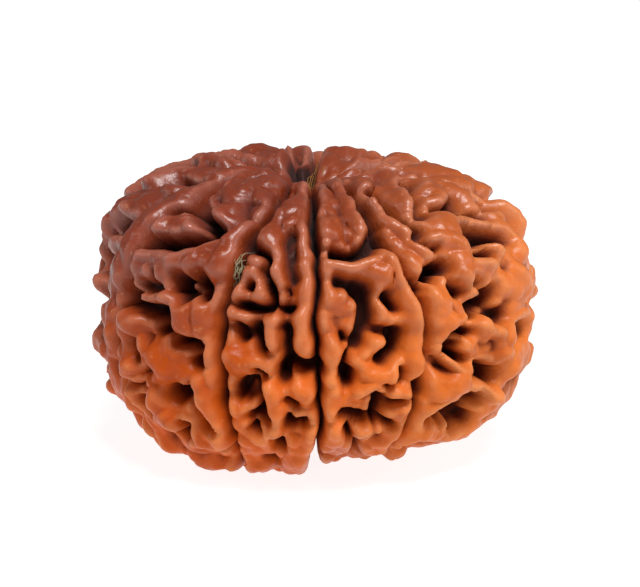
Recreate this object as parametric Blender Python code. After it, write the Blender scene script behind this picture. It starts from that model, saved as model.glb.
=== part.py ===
import math
import random

import bmesh
import bpy
import numpy as np
from mathutils import Matrix, Vector

# Real sizes of the bead, metres
WIDTH = 0.0263              # along X, before the lobes swell
DEPTH = 0.0255              # along Y, before the lobes swell
UPPER_HEIGHT = 0.0085       # equator to the top, before the dimple
LOWER_HEIGHT = 0.0086       # equator to the underside
CHANNEL_DIAMETER = 0.0018   # natural stringing channel through the core
CHANNEL_MOUTH_SHIFT = -0.00065  # the top mouth lies this far along X
TOP_DIMPLE = 0.0017         # sunken pole around the upper mouth
BOTTOM_DIMPLE = 0.0014
FLAT_SPOT = 0.00045         # worn away underneath, where it stands
UPPER_FULLNESS = 3.3        # how square the upper shoulder is
LOWER_FULLNESS = 2.85
SEAM_DEPTH = 0.0019         # depth of a mukhi line
SEAM_HALF_WIDTHS = (1.3, 1.4, 1.7, 1.4, 1.5, 1.6, 1.6, 1.6, 1.6)   # degrees of arc
LIP_HEIGHT = 0.00020        # rounded lip beside a mukhi line
CREST_GAIN = 0.00085        # metres a crest of 1 stands proud
CUT_GAIN = 0.00135
CREST_WIDEN = 0.6           # degrees added to every crest and cut
CUT_WIDEN = 0.5
SKIN_NOISE = 0.00030
PIT_DEPTH = 0.0014          # pits of the faces that the noise shapes
SWELL = 0.00008             # the ridges fatten by this much
SWELL_STEPS = 4
EASE = 0.30                 # smoothing after each step
TRIANGLES = 11500
SEED = 9

# The nine mukhi lines, each from the top to the underside.
# Every point is longitude and latitude in degrees: longitude 0 faces -Y
# and grows towards +X.
SEAMS = [
    [(-58, 78), (-60, 66), (-59, 60), (-56, 54), (-52, 47), (-50, 42), (-53, 39), (-57, 34.5),
     (-60, 29), (-62, 24), (-63, 18), (-64, 8), (-64, -2), (-62.5, -10), (-60.5, -18),
     (-58.5, -28), (-57.5, -45), (-59.5, -65), (-61, -80)],
    [(-24, 75), (-18, 62), (-16, 50), (-16, 42), (-17.5, 35), (-19.5, 30), (-21, 24), (-22, 19.5),
     (-23, 16), (-24.1, 11), (-24.5, 6), (-24.7, 0), (-24.3, -5), (-24.4, -10), (-24.6, -15),
     (-24.2, -20), (-24.6, -26), (-27, -33), (-29, -45), (-28, -65), (-28, -80)],
    [(4, 75), (2, 62), (0.5, 52), (-0.5, 44), (-0.8, 36), (0.3, 30), (0, 22), (0.4, 12),
     (0.8, 0), (1.2, -10), (1.8, -20), (1.0, -29), (-0.4, -38), (-1, -50), (-1, -65), (-1, -80)],
    [(26, 75), (25, 66), (23, 58), (21, 51), (19.5, 45), (19, 39), (20.5, 34), (22, 29), (24, 23),
     (26, 19), (27.8, 15), (29, 9), (30, 2), (30, -3), (28.6, -8), (28.2, -12), (27.5, -20),
     (27, -30), (31, -45), (37, -65), (39, -80)],
    [(70, 78), (74, 66), (76, 55), (79, 45), (82, 35), (82, 22), (80, 8), (79, -5), (78, -18),
     (76, -32), (76, -50), (78, -68), (80, -80)],
    [(116, 78), (118, 60), (121, 45), (123, 28), (121, 10), (123, -8), (124, -26), (121, -48),
     (118, -66), (117, -80)],
    [(182, 78), (182, 60), (178, 44), (169, 26), (163, 8), (166, -10), (167, -30), (163, -50),
     (160, -66), (158, -80)],
    [(200, 78), (200, 60), (204, 44), (210, 24), (208, 6), (206, -12), (209, -30), (207, -50),
     (203, -66), (200, -80)],
    [(240, 78), (244, 62), (250, 44), (251, 26), (249, 8), (252, -10), (253, -28), (250, -48),
     (246, -66), (244, -80)],
]

# How far each face swells at its middle, above it and below it, metres.
# The faces follow the lines above: the first lies right of the first line.
LOBES = [
    (0.0004, 0.0007, 0.0004), (0.0003, 0.0002, 0.0002), (0.0003, 0.0001, -0.0005),
    (0.0005, 0.0003, -0.0003), (0.0003, 0.0006, -0.0002), (0.0005, 0.0006, 0.0000),
    (0.0006, 0.0007, 0.0000), (0.0005, 0.0008, 0.0000), (0.0003, 0.0007, 0.0003),
]

# Relief of the faces. A crest or cut is its height or depth in millimetres,
# its half width in degrees of arc at its start and end, and its course.
CENTRE_LEFT_FACE = dict(
    crests=[
        (0.35, 1.6, 1.6, [(-20.5, 18), (-19.3, 20.6), (-16.8, 21.2), (-14.8, 19.5), (-14.8, 16.6),
                          (-17, 15), (-19.8, 15.6), (-20.5, 18)]),
        (0.40, 1.2, 0.9, [(-20.5, 11), (-18, 10.4), (-15.8, 10)]),
        (0.90, 2.3, 2.0, [(-11.2, 13.2), (-11, 9), (-11, 5)]),
        (0.60, 1.8, 2.2, [(-3, 24), (-2.3, 18), (-2.4, 11), (-2.7, 3.5)]),
        (0.45, 3.2, 3.0, [(-22, -1.5), (-17, -2.2), (-12.5, -2.0)]),
        (0.50, 1.8, 1.6, [(-6, -4.5), (-3.3, -6.5), (-0.8, -8.6)]),
        (0.40, 1.6, 1.6, [(-22.4, -13.4), (-20, -12.6), (-17.2, -12.8)]),
        (0.55, 2.0, 1.8, [(-11, -8), (-10.3, -12), (-10.2, -16), (-10.2, -20)]),
        (0.35, 1.4, 1.4, [(-19.3, -20), (-18, -22.4), (-15, -22.6), (-13.3, -20.4), (-14.4, -18.2),
                          (-17.6, -17.8), (-19.3, -20)]),
        (0.40, 1.4, 1.4, [(-3.6, -14), (0, -16.2)]),
        (0.35, 1.3, 1.3, [(-5, -19), (-2.6, -20.6), (-0.6, -21.2)]),
        (0.35, 1.4, 1.4, [(-9.8, -22.8), (-7, -23.4), (-4.4, -21.8)]),
        (0.50, 3.6, 2.6, [(-7, 56), (-6, 50), (-6.5, 44), (-8.5, 38)]),
        (0.45, 2.0, 1.6, [(-4, 50), (-3.6, 42), (-3.2, 35), (-2.2, 28), (-2.2, 23)]),
        (0.65, 2.3, 1.8, [(-14.5, 32), (-12, 29.5), (-10.5, 26), (-9, 22)]),
        (0.60, 1.5, 1.5, [(-17, 25.2), (-13.2, 23.6), (-10.4, 19.5), (-8.8, 16.5)]),
        (0.30, 1.8, 1.6, [(-14.8, 41), (-13.8, 35.5)]),
        (0.35, 2.0, 2.0, [(-20.5, -25), (-17.5, -31), (-17, -38)]),
    ],
    cuts=[
        (1.30, 1.3, 1.3, [(-17.8, 18.2), (-17.2, 17.6)]),
        (1.60, 1.7, 1.5, [(-13, 21.5), (-11.8, 18.5), (-11.6, 16.5), (-11.6, 14.8)]),
        (0.90, 1.0, 1.0, [(-7.3, 17.8), (-7.1, 17.0)]),
        (1.40, 1.6, 1.6, [(-8.2, 13.4), (-6.2, 13.1)]),
        (1.50, 1.5, 1.8, [(-19.5, 13.6), (-15, 13.2), (-12.6, 13)]),
        (1.70, 2.4, 2.0, [(-15.2, 8), (-14.4, 5.4), (-13.5, 3.2)]),
        (1.30, 2.0, 2.0, [(-19.6, 7.6), (-18.6, 4.6)]),
        (1.50, 1.8, 2.0, [(-7, 8.6), (-5.6, 6), (-6.6, 3), (-7, 0)]),
        (1.50, 2.2, 2.6, [(-7, -0.4), (-3, -1.4), (0.5, -2)]),
        (1.10, 1.2, 1.2, [(-14.8, -3.4), (-13, -4.4)]),
        (1.90, 2.0, 2.0, [(-7.8, -2), (-7.8, -4.6)]),
        (1.50, 1.8, 1.6, [(-19.8, -10), (-18.5, -7.3), (-16, -6.8), (-14.6, -9), (-13.6, -13),
                          (-14.5, -15.5)]),
        (1.10, 1.8, 1.8, [(-17.4, -10.4), (-17, -11)]),
        (1.40, 1.6, 1.6, [(-17, -16), (-12.6, -16.2)]),
        (1.40, 1.7, 1.7, [(-16.9, -20), (-16, -20)]),
        (1.20, 1.7, 1.7, [(-6.4, -16), (-6, -17.8)]),
        (1.20, 1.4, 1.4, [(-3, -15.8), (-3, -17.4)]),
        (1.50, 1.7, 1.7, [(-10.5, -22.4), (-11, -28)]),
        (1.10, 1.5, 1.4, [(-17, 28.6), (-14, 26.6), (-12.4, 24)]),
        (1.10, 2.8, 2.4, [(-7.5, 32), (-6.5, 27), (-5.8, 21)]),
        (0.90, 1.8, 1.6, [(-17, 49), (-16.5, 44)]),
        (1.00, 1.3, 1.3, [(-6.6, -10.4), (-4.4, -11.6)]),
        (2.00, 1.5, 2.0, [(0.8, -29), (-0.4, -38), (-1, -47)]),
    ],
)
CENTRE_RIGHT_FACE = dict(
    crests=[
        (0.35, 1.3, 1.1, [(2.8, 22), (3.2, 19), (4.2, 16.8)]),
        (0.40, 1.3, 1.3, [(4.2, 16.8), (6.2, 14.6), (8.2, 13.2), (9.6, 14), (10.6, 15)]),
        (0.40, 1.2, 1.2, [(7.8, 19.2), (7.4, 16.5)]),
        (0.50, 3.0, 3.2, [(4.6, 10.8), (9, 10.6)]),
        (0.50, 3.0, 3.0, [(17.5, 20.5), (18.5, 17)]),
        (0.60, 1.9, 2.0, [(21.6, 24.5), (23.8, 20), (25.4, 14), (26.4, 7), (26.8, 0), (25.8, -4)]),
        (0.50, 1.2, 1.2, [(13.2, 1.6), (16.2, 3.6), (19.4, 4.8)]),
        (0.50, 2.2, 2.2, [(4.6, 4.5), (4.6, 0), (3.6, -4)]),
        (0.50, 1.8, 1.8, [(11.4, -1.4), (13.8, -3.8), (18.6, -4.8), (21, -2.2)]),
        (0.50, 1.2, 1.2, [(11.4, -11), (12.4, -8.9), (14.6, -7.6), (17, -8.2), (19.4, -10.4)]),
        (0.45, 1.5, 1.5, [(9.8, -19.4), (12.6, -20.8), (16.4, -20.4), (18.4, -21)]),
        (0.45, 2.2, 2.2, [(4.4, -8), (4.6, -13)]),
        (0.40, 1.8, 1.8, [(5, -20), (5.6, -25)]),
        (0.45, 2.2, 2.2, [(23.5, -8), (23.6, -11)]),
        (0.40, 3.0, 3.0, [(4, 60), (4.2, 52), (4.5, 46)]),
        (0.65, 1.8, 2.2, [(19, 68), (15.5, 56), (14.5, 46), (14.8, 40), (16, 35.5), (16.8, 31.5),
                          (15.5, 30)]),
        (0.50, 3.0, 3.0, [(4.5, 41), (5.5, 34)]),
        (0.45, 1.5, 1.6, [(4.2, 25.6), (7.6, 24.6), (12, 24.2), (16, 25.4), (18.4, 26.2)]),
        (0.35, 1.7, 1.5, [(2.6, 29), (2.4, 24)]),
        (0.35, 1.8, 1.8, [(17, -32), (17.4, -38)]),
    ],
    cuts=[
        (1.10, 2.0, 1.8, [(5, 20.4), (9.4, 20)]),
        (1.70, 2.2, 2.5, [(10.2, 19.4), (13.4, 16), (13.9, 12), (12.4, 7.5), (11.4, 4.2)]),
        (1.10, 1.3, 1.3, [(7.5, 7.4), (7.5, 6.2)]),
        (1.30, 1.7, 1.7, [(19.2, 15.6), (20.8, 13)]),
        (1.00, 2.2, 2.0, [(15, 8.5), (19, 6.8)]),
        (1.70, 2.5, 2.3, [(21.6, 6.2), (20.6, 2.2), (18, -0.8)]),
        (1.30, 1.3, 1.3, [(8.4, 2), (7.8, -0.6)]),
        (1.70, 2.5, 2.5, [(8.5, -3.5), (8.6, -6)]),
        (1.10, 1.5, 1.5, [(22.3, -3.4), (22.4, -6)]),
        (1.10, 1.2, 1.2, [(13.2, -10.4), (15, -9.8), (16.6, -10.8)]),
        (0.80, 1.0, 1.0, [(18.2, -7.0), (19.4, -8.0)]),
        (1.60, 2.2, 1.8, [(18, -11.8), (17.6, -14), (17, -18)]),
        (0.90, 1.8, 1.8, [(21, -13), (24, -12.8)]),
        (1.40, 1.7, 2.0, [(7.5, -15.8), (10.5, -16.5), (13, -17)]),
        (1.30, 1.3, 1.3, [(8.8, -20), (9.5, -24)]),
        (1.10, 1.6, 1.6, [(14, -22.8), (19, -22.8)]),
        (1.00, 1.2, 1.2, [(19.6, -18.6), (23, -20.4)]),
        (1.60, 1.6, 2.0, [(13, -26), (14, -34), (15, -42)]),
        (1.40, 1.4, 2.4, [(4.6, 27.4), (8, 26.8), (12, 26.6), (15.6, 28.0), (19, 31)]),
        (1.40, 1.7, 1.6, [(27, 18.8), (28, 17)]),
        (1.60, 2.0, 1.9, [(28.2, -6), (28, -11)]),
    ],
)
RIGHT_FACE = dict(
    crests=[
        (0.75, 2.6, 1.8, [(46, 63), (38, 60), (31.5, 55.5), (27.5, 50.5), (25.4, 45), (25, 40),
                          (26, 36.2), (28.6, 32), (31, 28), (32.4, 25)]),
        (0.70, 2.6, 1.5, [(84, 64), (76, 60), (64, 55.5), (56, 50), (49, 45), (42, 39.5), (37.5, 35.5)]),
        (0.35, 4.0, 4.0, [(60, 50), (69, 50.5), (76, 48.5)]),
        (0.60, 1.8, 1.8, [(41, 35), (44.6, 36), (49, 33.6), (54, 33.2)]),
        (0.50, 3.2, 3.0, [(36, 33), (42, 32)]),
        (0.65, 2.0, 1.6, [(31.6, 30.6), (35, 28.4), (40, 27.4), (44.5, 25.4), (49, 22.9), (54.5, 19.8)]),
        (0.55, 1.6, 2.0, [(52, 25.2), (57, 23.8), (61.5, 20.3), (65, 16.5), (68.5, 12), (73, 8)]),
        (0.40, 1.6, 1.6, [(58, 27.6), (64, 26.8), (70, 25.6), (75, 22)]),
        (0.40, 2.0, 2.0, [(52, 43), (56, 42)]),
        (0.50, 1.1, 1.1, [(35.4, 17.4), (38.0, 18.6), (39.8, 20.6)]),
        (0.65, 3.4, 4.4, [(32, 15), (36, 12.2), (38.5, 9)]),
        (0.40, 2.6, 2.2, [(31.5, 9), (33, 4.5)]),
        (0.55, 2.2, 2.2, [(42.5, 22), (44.0, 17), (44.6, 12.6)]),
        (0.40, 1.8, 1.8, [(47, 5), (51, 3), (57, 1.4)]),
        (0.50, 1.0, 1.0, [(35.6, 2.2), (38.4, 3.4), (41.6, 1.2)]),
        (0.65, 1.2, 1.2, [(33.4, 1.2), (36, -1), (38.6, -4), (42, -5.0)]),
        (0.45, 0.9, 0.9, [(42, -0.6), (43.2, -2.6), (44.4, -4.8)]),
        (0.60, 3.2, 4.0, [(33, -9), (38, -9), (40.5, -9)]),
        (0.45, 1.6, 1.6, [(32.4, -15.4), (34.5, -14.2), (39, -13.4), (42.6, -10.6)]),
        (0.50, 1.1, 1.1, [(40.3, -15.6), (40.8, -19), (40.8, -22)]),
        (0.55, 1.5, 1.5, [(42.6, -12.8), (46, -14.0), (51, -15.0), (57, -16.2)]),
        (0.45, 1.5, 1.5, [(45, -7), (48, -5.2), (53, -5.2), (59, -5.4)]),
        (0.40, 2.0, 2.0, [(60, -9.4), (66, -11.4)]),
        (0.45, 1.8, 1.8, [(60, -1), (64, 1.2), (69, 2.4), (75, 1.6)]),
        (0.40, 2.2, 2.2, [(46, -1), (53, -1.6)]),
        (0.35, 2.0, 2.0, [(34, -23.5), (39, -25)]),
        (0.45, 3.0, 3.0, [(46, -27), (56, -29), (66, -27)]),
    ],
    cuts=[
        (1.40, 2.2, 1.8, [(31.5, 51), (29.8, 45), (29.2, 40), (31, 35.5), (33.4, 31.5)]),
        (1.30, 2.0, 1.8, [(65, 53), (55, 50), (49, 46.5), (44, 42), (41, 37)]),
        (1.30, 2.6, 2.4, [(50, 36.5), (57, 36.5), (66, 37)]),
        (1.90, 2.3, 2.1, [(49, 27.6), (54.5, 26.4)]),
        (1.40, 1.6, 1.6, [(57, 25.2), (62, 23.6), (67, 22.6)]),
        (1.30, 1.4, 1.4, [(48.6, 24.2), (52, 22.9), (56.4, 21)]),
        (1.10, 2.0, 1.6, [(77, 33), (86, 31)]),
        (0.90, 2.0, 2.0, [(66, 31.5), (71, 30.5)]),
        (0.80, 1.0, 1.0, [(30.2, 30), (33.8, 25.6)]),
        (1.60, 1.8, 1.8, [(32, 20.4), (34.6, 21.4), (37.4, 20.8)]),
        (1.00, 1.6, 1.6, [(47.4, 16.6), (49.2, 15.2)]),
        (2.00, 2.5, 2.8, [(46, 9), (50.5, 10), (55.5, 11)]),
        (0.80, 3.0, 2.0, [(53, 7), (60, 4.5)]),
        (1.60, 1.5, 1.3, [(36.2, 1.2), (39, -0.6), (42.4, -3)]),
        (0.90, 1.0, 1.0, [(37.2, 2.6), (40.4, 1.2)]),
        (0.50, 1.6, 1.6, [(33.4, -2.4), (36, -5.6)]),
        (1.30, 2.3, 2.3, [(33.8, -18), (37.6, -17.4), (38.4, -19.6)]),
        (2.00, 2.6, 2.6, [(43, -15.8), (46, -17), (50, -17.2)]),
        (1.60, 2.2, 2.0, [(42.2, -18.6), (45, -20.6), (49, -21.4)]),
        (1.90, 1.8, 2.3, [(47.4, -7.4), (51, -9), (56, -11)]),
        (0.70, 2.8, 2.4, [(66, -1.2), (70, -1)]),
        (0.80, 2.0, 2.0, [(46, -24), (52, -24)]),
        (0.90, 1.8, 1.6, [(37.5, 16.0), (40, 15.2), (42, 14.2)]),
        (0.90, 1.4, 1.4, [(38.5, 4.8), (41, 4.8), (44, 3.6)]),
        (0.80, 0.9, 0.9, [(34.4, 26.6), (36, 26.2)]),
        (0.80, 2.0, 2.0, [(88, 66), (88, 58), (86, 53)]),
    ],
)
LEFT_FACE = dict(
    crests=[
        (0.55, 1.7, 1.8, [(-57, 21.5), (-50, 22.8), (-43, 24.2), (-36, 25.8), (-29, 27.4)]),
        (0.75, 2.2, 2.0, [(-49, 32.8), (-45, 32.2), (-40, 31.2), (-37, 30.4)]),
        (0.45, 7.0, 5.0, [(-38, 60), (-36, 51), (-33, 43), (-31, 37)]),
        (0.40, 2.2, 2.0, [(-29, 60), (-26, 50), (-24.5, 42), (-23, 36.5)]),
        (0.65, 1.5, 1.5, [(-50, 10.0), (-48, 11.6), (-44, 12.2), (-40, 11.8)]),
        (0.60, 3.2, 3.0, [(-36, 11), (-35.4, 6.6)]),
        (0.40, 2.2, 2.2, [(-30.0, 14), (-29.2, 6), (-28.6, 0)]),
        (0.50, 2.2, 1.8, [(-64, 4.6), (-59, 4.2), (-53, 3.6)]),
        (0.35, 1.5, 1.5, [(-64, 1), (-58, 1.6)]),
        (0.45, 2.6, 3.6, [(-51, -1), (-46, -3), (-42, -5)]),
        (0.45, 1.2, 1.2, [(-53, 0.4), (-51, -3.6), (-51.4, -6)]),
        (0.50, 1.5, 1.5, [(-61, -4.6), (-58.4, -7.4), (-54.6, -6.4)]),
        (0.50, 1.5, 1.5, [(-58.5, -9.6), (-53.6, -10.8), (-49.4, -10.4)]),
        (0.50, 2.4, 2.2, [(-46, -13.4), (-47.6, -17.4)]),
        (0.45, 1.3, 1.3, [(-51, -19.6), (-47.5, -20.0), (-43.4, -18.6)]),
        (0.55, 1.7, 1.7, [(-44.4, -20.9), (-41, -21.2), (-37.4, -19.6)]),
        (0.50, 1.5, 1.5, [(-36.6, -20.6), (-36, -24.4), (-33.4, -26.6), (-29.6, -27.2)]),
        (0.50, 1.8, 2.6, [(-31.0, -7.6), (-29.2, -12), (-28.8, -18), (-28, -23)]),
        (0.35, 2.0, 2.0, [(-57, -15), (-55, -20), (-50, -24)]),
        (0.35, 2.0, 2.0, [(-48, -23), (-43, -27), (-38, -30)]),
        (0.80, 6.0, 6.0, [(-62, -32), (-52, -38), (-40, -42), (-30, -44)]),
        (0.75, 3.0, 2.4, [(-22.5, 33.5), (-24, 28), (-26.5, 22)]),
    ],
    cuts=[
        (1.80, 2.0, 1.8, [(-53, 25.4), (-46, 26.8), (-39, 27.8), (-33, 29.2), (-28.5, 31)]),
        (1.80, 2.4, 2.8, [(-50, 42), (-46.5, 38.5), (-41, 35), (-35.5, 32.5)]),
        (0.90, 1.0, 1.0, [(-47, 18.8), (-46.8, 16.2)]),
        (1.50, 1.9, 1.7, [(-38.8, 18.2), (-38.2, 15)]),
        (1.80, 1.6, 1.9, [(-33.4, 19), (-31, 18), (-29.4, 15.6)]),
        (0.80, 1.4, 1.4, [(-34.4, 15), (-36, 13)]),
        (2.10, 2.0, 2.4, [(-49, 8.0), (-45, 8.0), (-41.6, 7.6)]),
        (1.20, 2.2, 2.2, [(-57, 10), (-52, 8.6)]),
        (1.00, 2.0, 2.0, [(-41, 5), (-44, 3.8)]),
        (1.80, 1.6, 1.8, [(-37.6, 2.2), (-34, 2.1), (-31.6, 1.8)]),
        (1.60, 2.2, 2.2, [(-32, -3.0), (-31.4, -2.9)]),
        (1.00, 1.7, 1.7, [(-54.0, -0.8), (-53.0, -3.4)]),
        (1.00, 1.1, 1.1, [(-57.6, -11.8), (-55.6, -12.6)]),
        (1.30, 1.6, 1.6, [(-52, -12.5), (-50.6, -15.2), (-50, -17.6)]),
        (0.80, 2.6, 2.4, [(-53, 14.5), (-48, 15), (-43, 14.5)]),
        (2.00, 2.4, 2.1, [(-40.4, -12.8), (-37, -12.6)]),
        (1.40, 1.9, 1.7, [(-38.6, -21.6), (-39.6, -24.0)]),
        (1.40, 1.7, 1.5, [(-34, -10.6), (-33.0, -14), (-31.2, -18.6), (-29.4, -21)]),
        (0.70, 1.6, 1.6, [(-32.6, -29), (-29.6, -29)]),
        (0.80, 1.4, 1.4, [(-55, -17), (-52, -21)]),
        (0.80, 1.4, 1.4, [(-45, -24.5), (-42, -27)]),
    ],
)
FAR_LEFT_FACE = dict(
    crests=[
        (0.60, 4.0, 2.4, [(-80, 68), (-74, 60), (-68, 52), (-62, 45.5), (-60.5, 39), (-63, 32),
                          (-65.5, 25), (-67.5, 16), (-68, 6), (-67, -3)]),
        (0.40, 1.6, 1.6, [(-74, 41), (-68, 42)]),
        (0.80, 3.0, 3.0, [(-92, 8), (-82, 8)]),
        (0.50, 2.5, 2.5, [(-86, -7), (-76, -8)]),
    ],
    cuts=[
        (1.30, 2.0, 1.6, [(-76, 28), (-69, 29)]),
        (1.40, 2.0, 2.0, [(-88, 42.5), (-77, 43.5), (-67, 45)]),
        (1.80, 3.0, 2.6, [(-90, 15.5), (-74, 14.5)]),
        (1.00, 2.0, 1.8, [(-76, 7), (-72, 7.6)]),
        (1.10, 3.0, 2.4, [(-90, -1), (-76, -2)]),
    ],
)
MOUTH_LOBES = dict(
    crests=[
        (0.55, 4.5, 4.0, [(191, 72), (191, 62), (192, 54)]),
        (0.50, 6.0, 6.0, [(212, 72), (212, 62), (214, 55)]),
        (0.50, 7.0, 6.0, [(163, 70), (162, 62), (161, 54)]),
        (0.30, 7.0, 6.0, [(134, 66), (133, 56), (132, 48)]),
        (0.50, 4.5, 4.5, [(100, 74), (100, 66), (98, 58), (96, 50), (95, 44)]),
        (1.10, 5.0, 5.0, [(12, -62), (18, -66)]),
        (1.00, 6.0, 6.0, [(46, -63), (56, -66)]),
        (1.00, 6.0, 6.0, [(92, -62), (104, -65)]),
        (0.80, 5.0, 5.0, [(138, -64), (146, -66)]),
        (0.90, 5.0, 5.0, [(176, -66), (188, -64)]),
        (0.70, 5.0, 5.0, [(222, -64), (232, -64)]),
    ],
    cuts=[],
)


def soft_step(low, high, x):
    t = np.clip((x - low) / (high - low), 0.0, 1.0)
    return t * t * (3.0 - 2.0 * t)


def direction(lon, lat):
    lon, lat = np.radians(lon), np.radians(lat)
    return np.stack([np.cos(lat) * np.sin(lon), -np.cos(lat) * np.cos(lon), np.sin(lat)], -1)


def smooth_course(points, step=2.5):
    # Catmull-Rom curve through the points, with a point every few degrees
    pts = [Vector(p) for p in points]
    pts = [2 * pts[0] - pts[1]] + pts + [2 * pts[-1] - pts[-2]]
    out = []
    for a, b, c, d in zip(pts, pts[1:], pts[2:], pts[3:]):
        count = max(1, math.ceil((c - b).length / step))
        for k in range(count):
            t = k / count
            out.append(0.5 * (2 * b + (c - a) * t + (2 * a - 5 * b + 4 * c - d) * t * t
                              + (3 * b - a - 3 * c + d) * t ** 3))
    out.append(pts[-2])
    return np.array([tuple(p) for p in out])


def course_distance(dirs, course):
    # Degrees of arc from each direction to the course, and how far along it
    knots = direction(course[:, 0], course[:, 1])
    best = np.full(len(dirs), 1e9)
    along = np.zeros(len(dirs))
    last = max(1, len(knots) - 1)
    for i in range(len(knots) - 1):
        a, ab = knots[i], knots[i + 1] - knots[i]
        t = np.clip((dirs - a) @ ab / max(ab @ ab, 1e-12), 0.0, 1.0)
        d = np.linalg.norm(dirs - a - t[:, None] * ab, axis=1)
        near = d < best
        best[near] = d[near]
        along[near] = (i + t[near]) / last
    return np.degrees(best), along


def near_course(dirs, course, reach):
    knots = direction(course[:, 0], course[:, 1])
    middle = knots.mean(axis=0)
    middle /= np.linalg.norm(middle)
    spread = np.degrees(np.arccos(np.clip((knots @ middle).min(), -1, 1)))
    limit = math.cos(math.radians(min(179.0, spread + reach + 1.0)))
    return np.nonzero(dirs @ middle > limit)[0]


def crest_shape(t):
    return np.clip(1.0 - t * t, 0.0, 1.0) ** 1.3


def cut_shape(t):
    return 0.80 * (1.0 - soft_step(0.45, 1.15, t)) + 0.20 * (1.0 - soft_step(0.0, 2.2, t))


def stroke_field(dirs, strokes, shape, reach, widen, power=5.0):
    total = np.zeros(len(dirs))
    for amount, start, end, points in strokes:
        start, end = start + widen, end + widen
        course = smooth_course(points)
        idx = near_course(dirs, course, max(start, end) * reach)
        d, along = course_distance(dirs[idx], course)
        width = start + (end - start) * along
        total[idx] += (amount * shape(d / width)) ** power
    return total ** (1.0 / power)


def wave_field(dirs, degrees, seed, count=28):
    # Smooth random bumps of about this size, mean 0 and spread 1
    rng = np.random.default_rng(seed)
    ways = rng.normal(size=(count, 3))
    ways /= np.linalg.norm(ways, axis=1)[:, None]
    pace = 360.0 / degrees * rng.uniform(0.8, 1.25, count)
    phase = rng.uniform(0, 2 * math.pi, count)
    total = np.zeros(len(dirs))
    for way, rate, shift in zip(ways, pace, phase):
        total += np.cos(dirs @ way * rate + shift)
    return total / math.sqrt(count / 2.0)


def seam_longitude(index, lat):
    course = SEAMS[index % 9]
    lats = [p[1] for p in course][::-1]
    lons = [p[0] for p in course][::-1]
    turn = 360.0 * (index // 9)
    return np.interp(lat, lats, lons) + turn


def carry_over(face, source, target, mirrored, lift, seed, limit=400):
    # The same kind of relief on another face, fitted between its two lines
    # and kept below this longitude
    rng = random.Random(seed)
    moved = dict(crests=[], cuts=[])
    for kind in ("crests", "cuts"):
        for amount, start, end, points in face[kind]:
            course = []
            for lon, lat in points:
                left, right = seam_longitude(source, lat), seam_longitude(source + 1, lat)
                u = (lon - left) / (right - left)
                u = 1.0 - u if mirrored else u
                lat = lat + lift + rng.uniform(-0.8, 0.8)
                left, right = seam_longitude(target, lat), seam_longitude(target + 1, lat)
                course.append((left + u * (right - left) + rng.uniform(-0.8, 0.8), lat))
            scale = rng.uniform(0.8, 1.15)
            if course[0][0] < limit:
                moved[kind].append((amount * scale, start * scale, end * scale, course))
    return moved


def polar_ribs(target, seed):
    # Ribs that gather towards the underside
    rng = random.Random(seed)
    ribs = []
    for k in range(2):
        u = 0.25 + 0.5 * k + rng.uniform(-0.05, 0.05)
        course = []
        for lat in (-78, -68, -58, -48, -38 + rng.uniform(-5, 5)):
            left, right = seam_longitude(target, lat), seam_longitude(target + 1, lat)
            course.append((left + u * (right - left) + rng.uniform(-1.5, 1.5), lat))
        ribs.append((rng.uniform(0.3, 0.5), 4.0, rng.uniform(2.4, 3.4), course))
    return ribs


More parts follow.
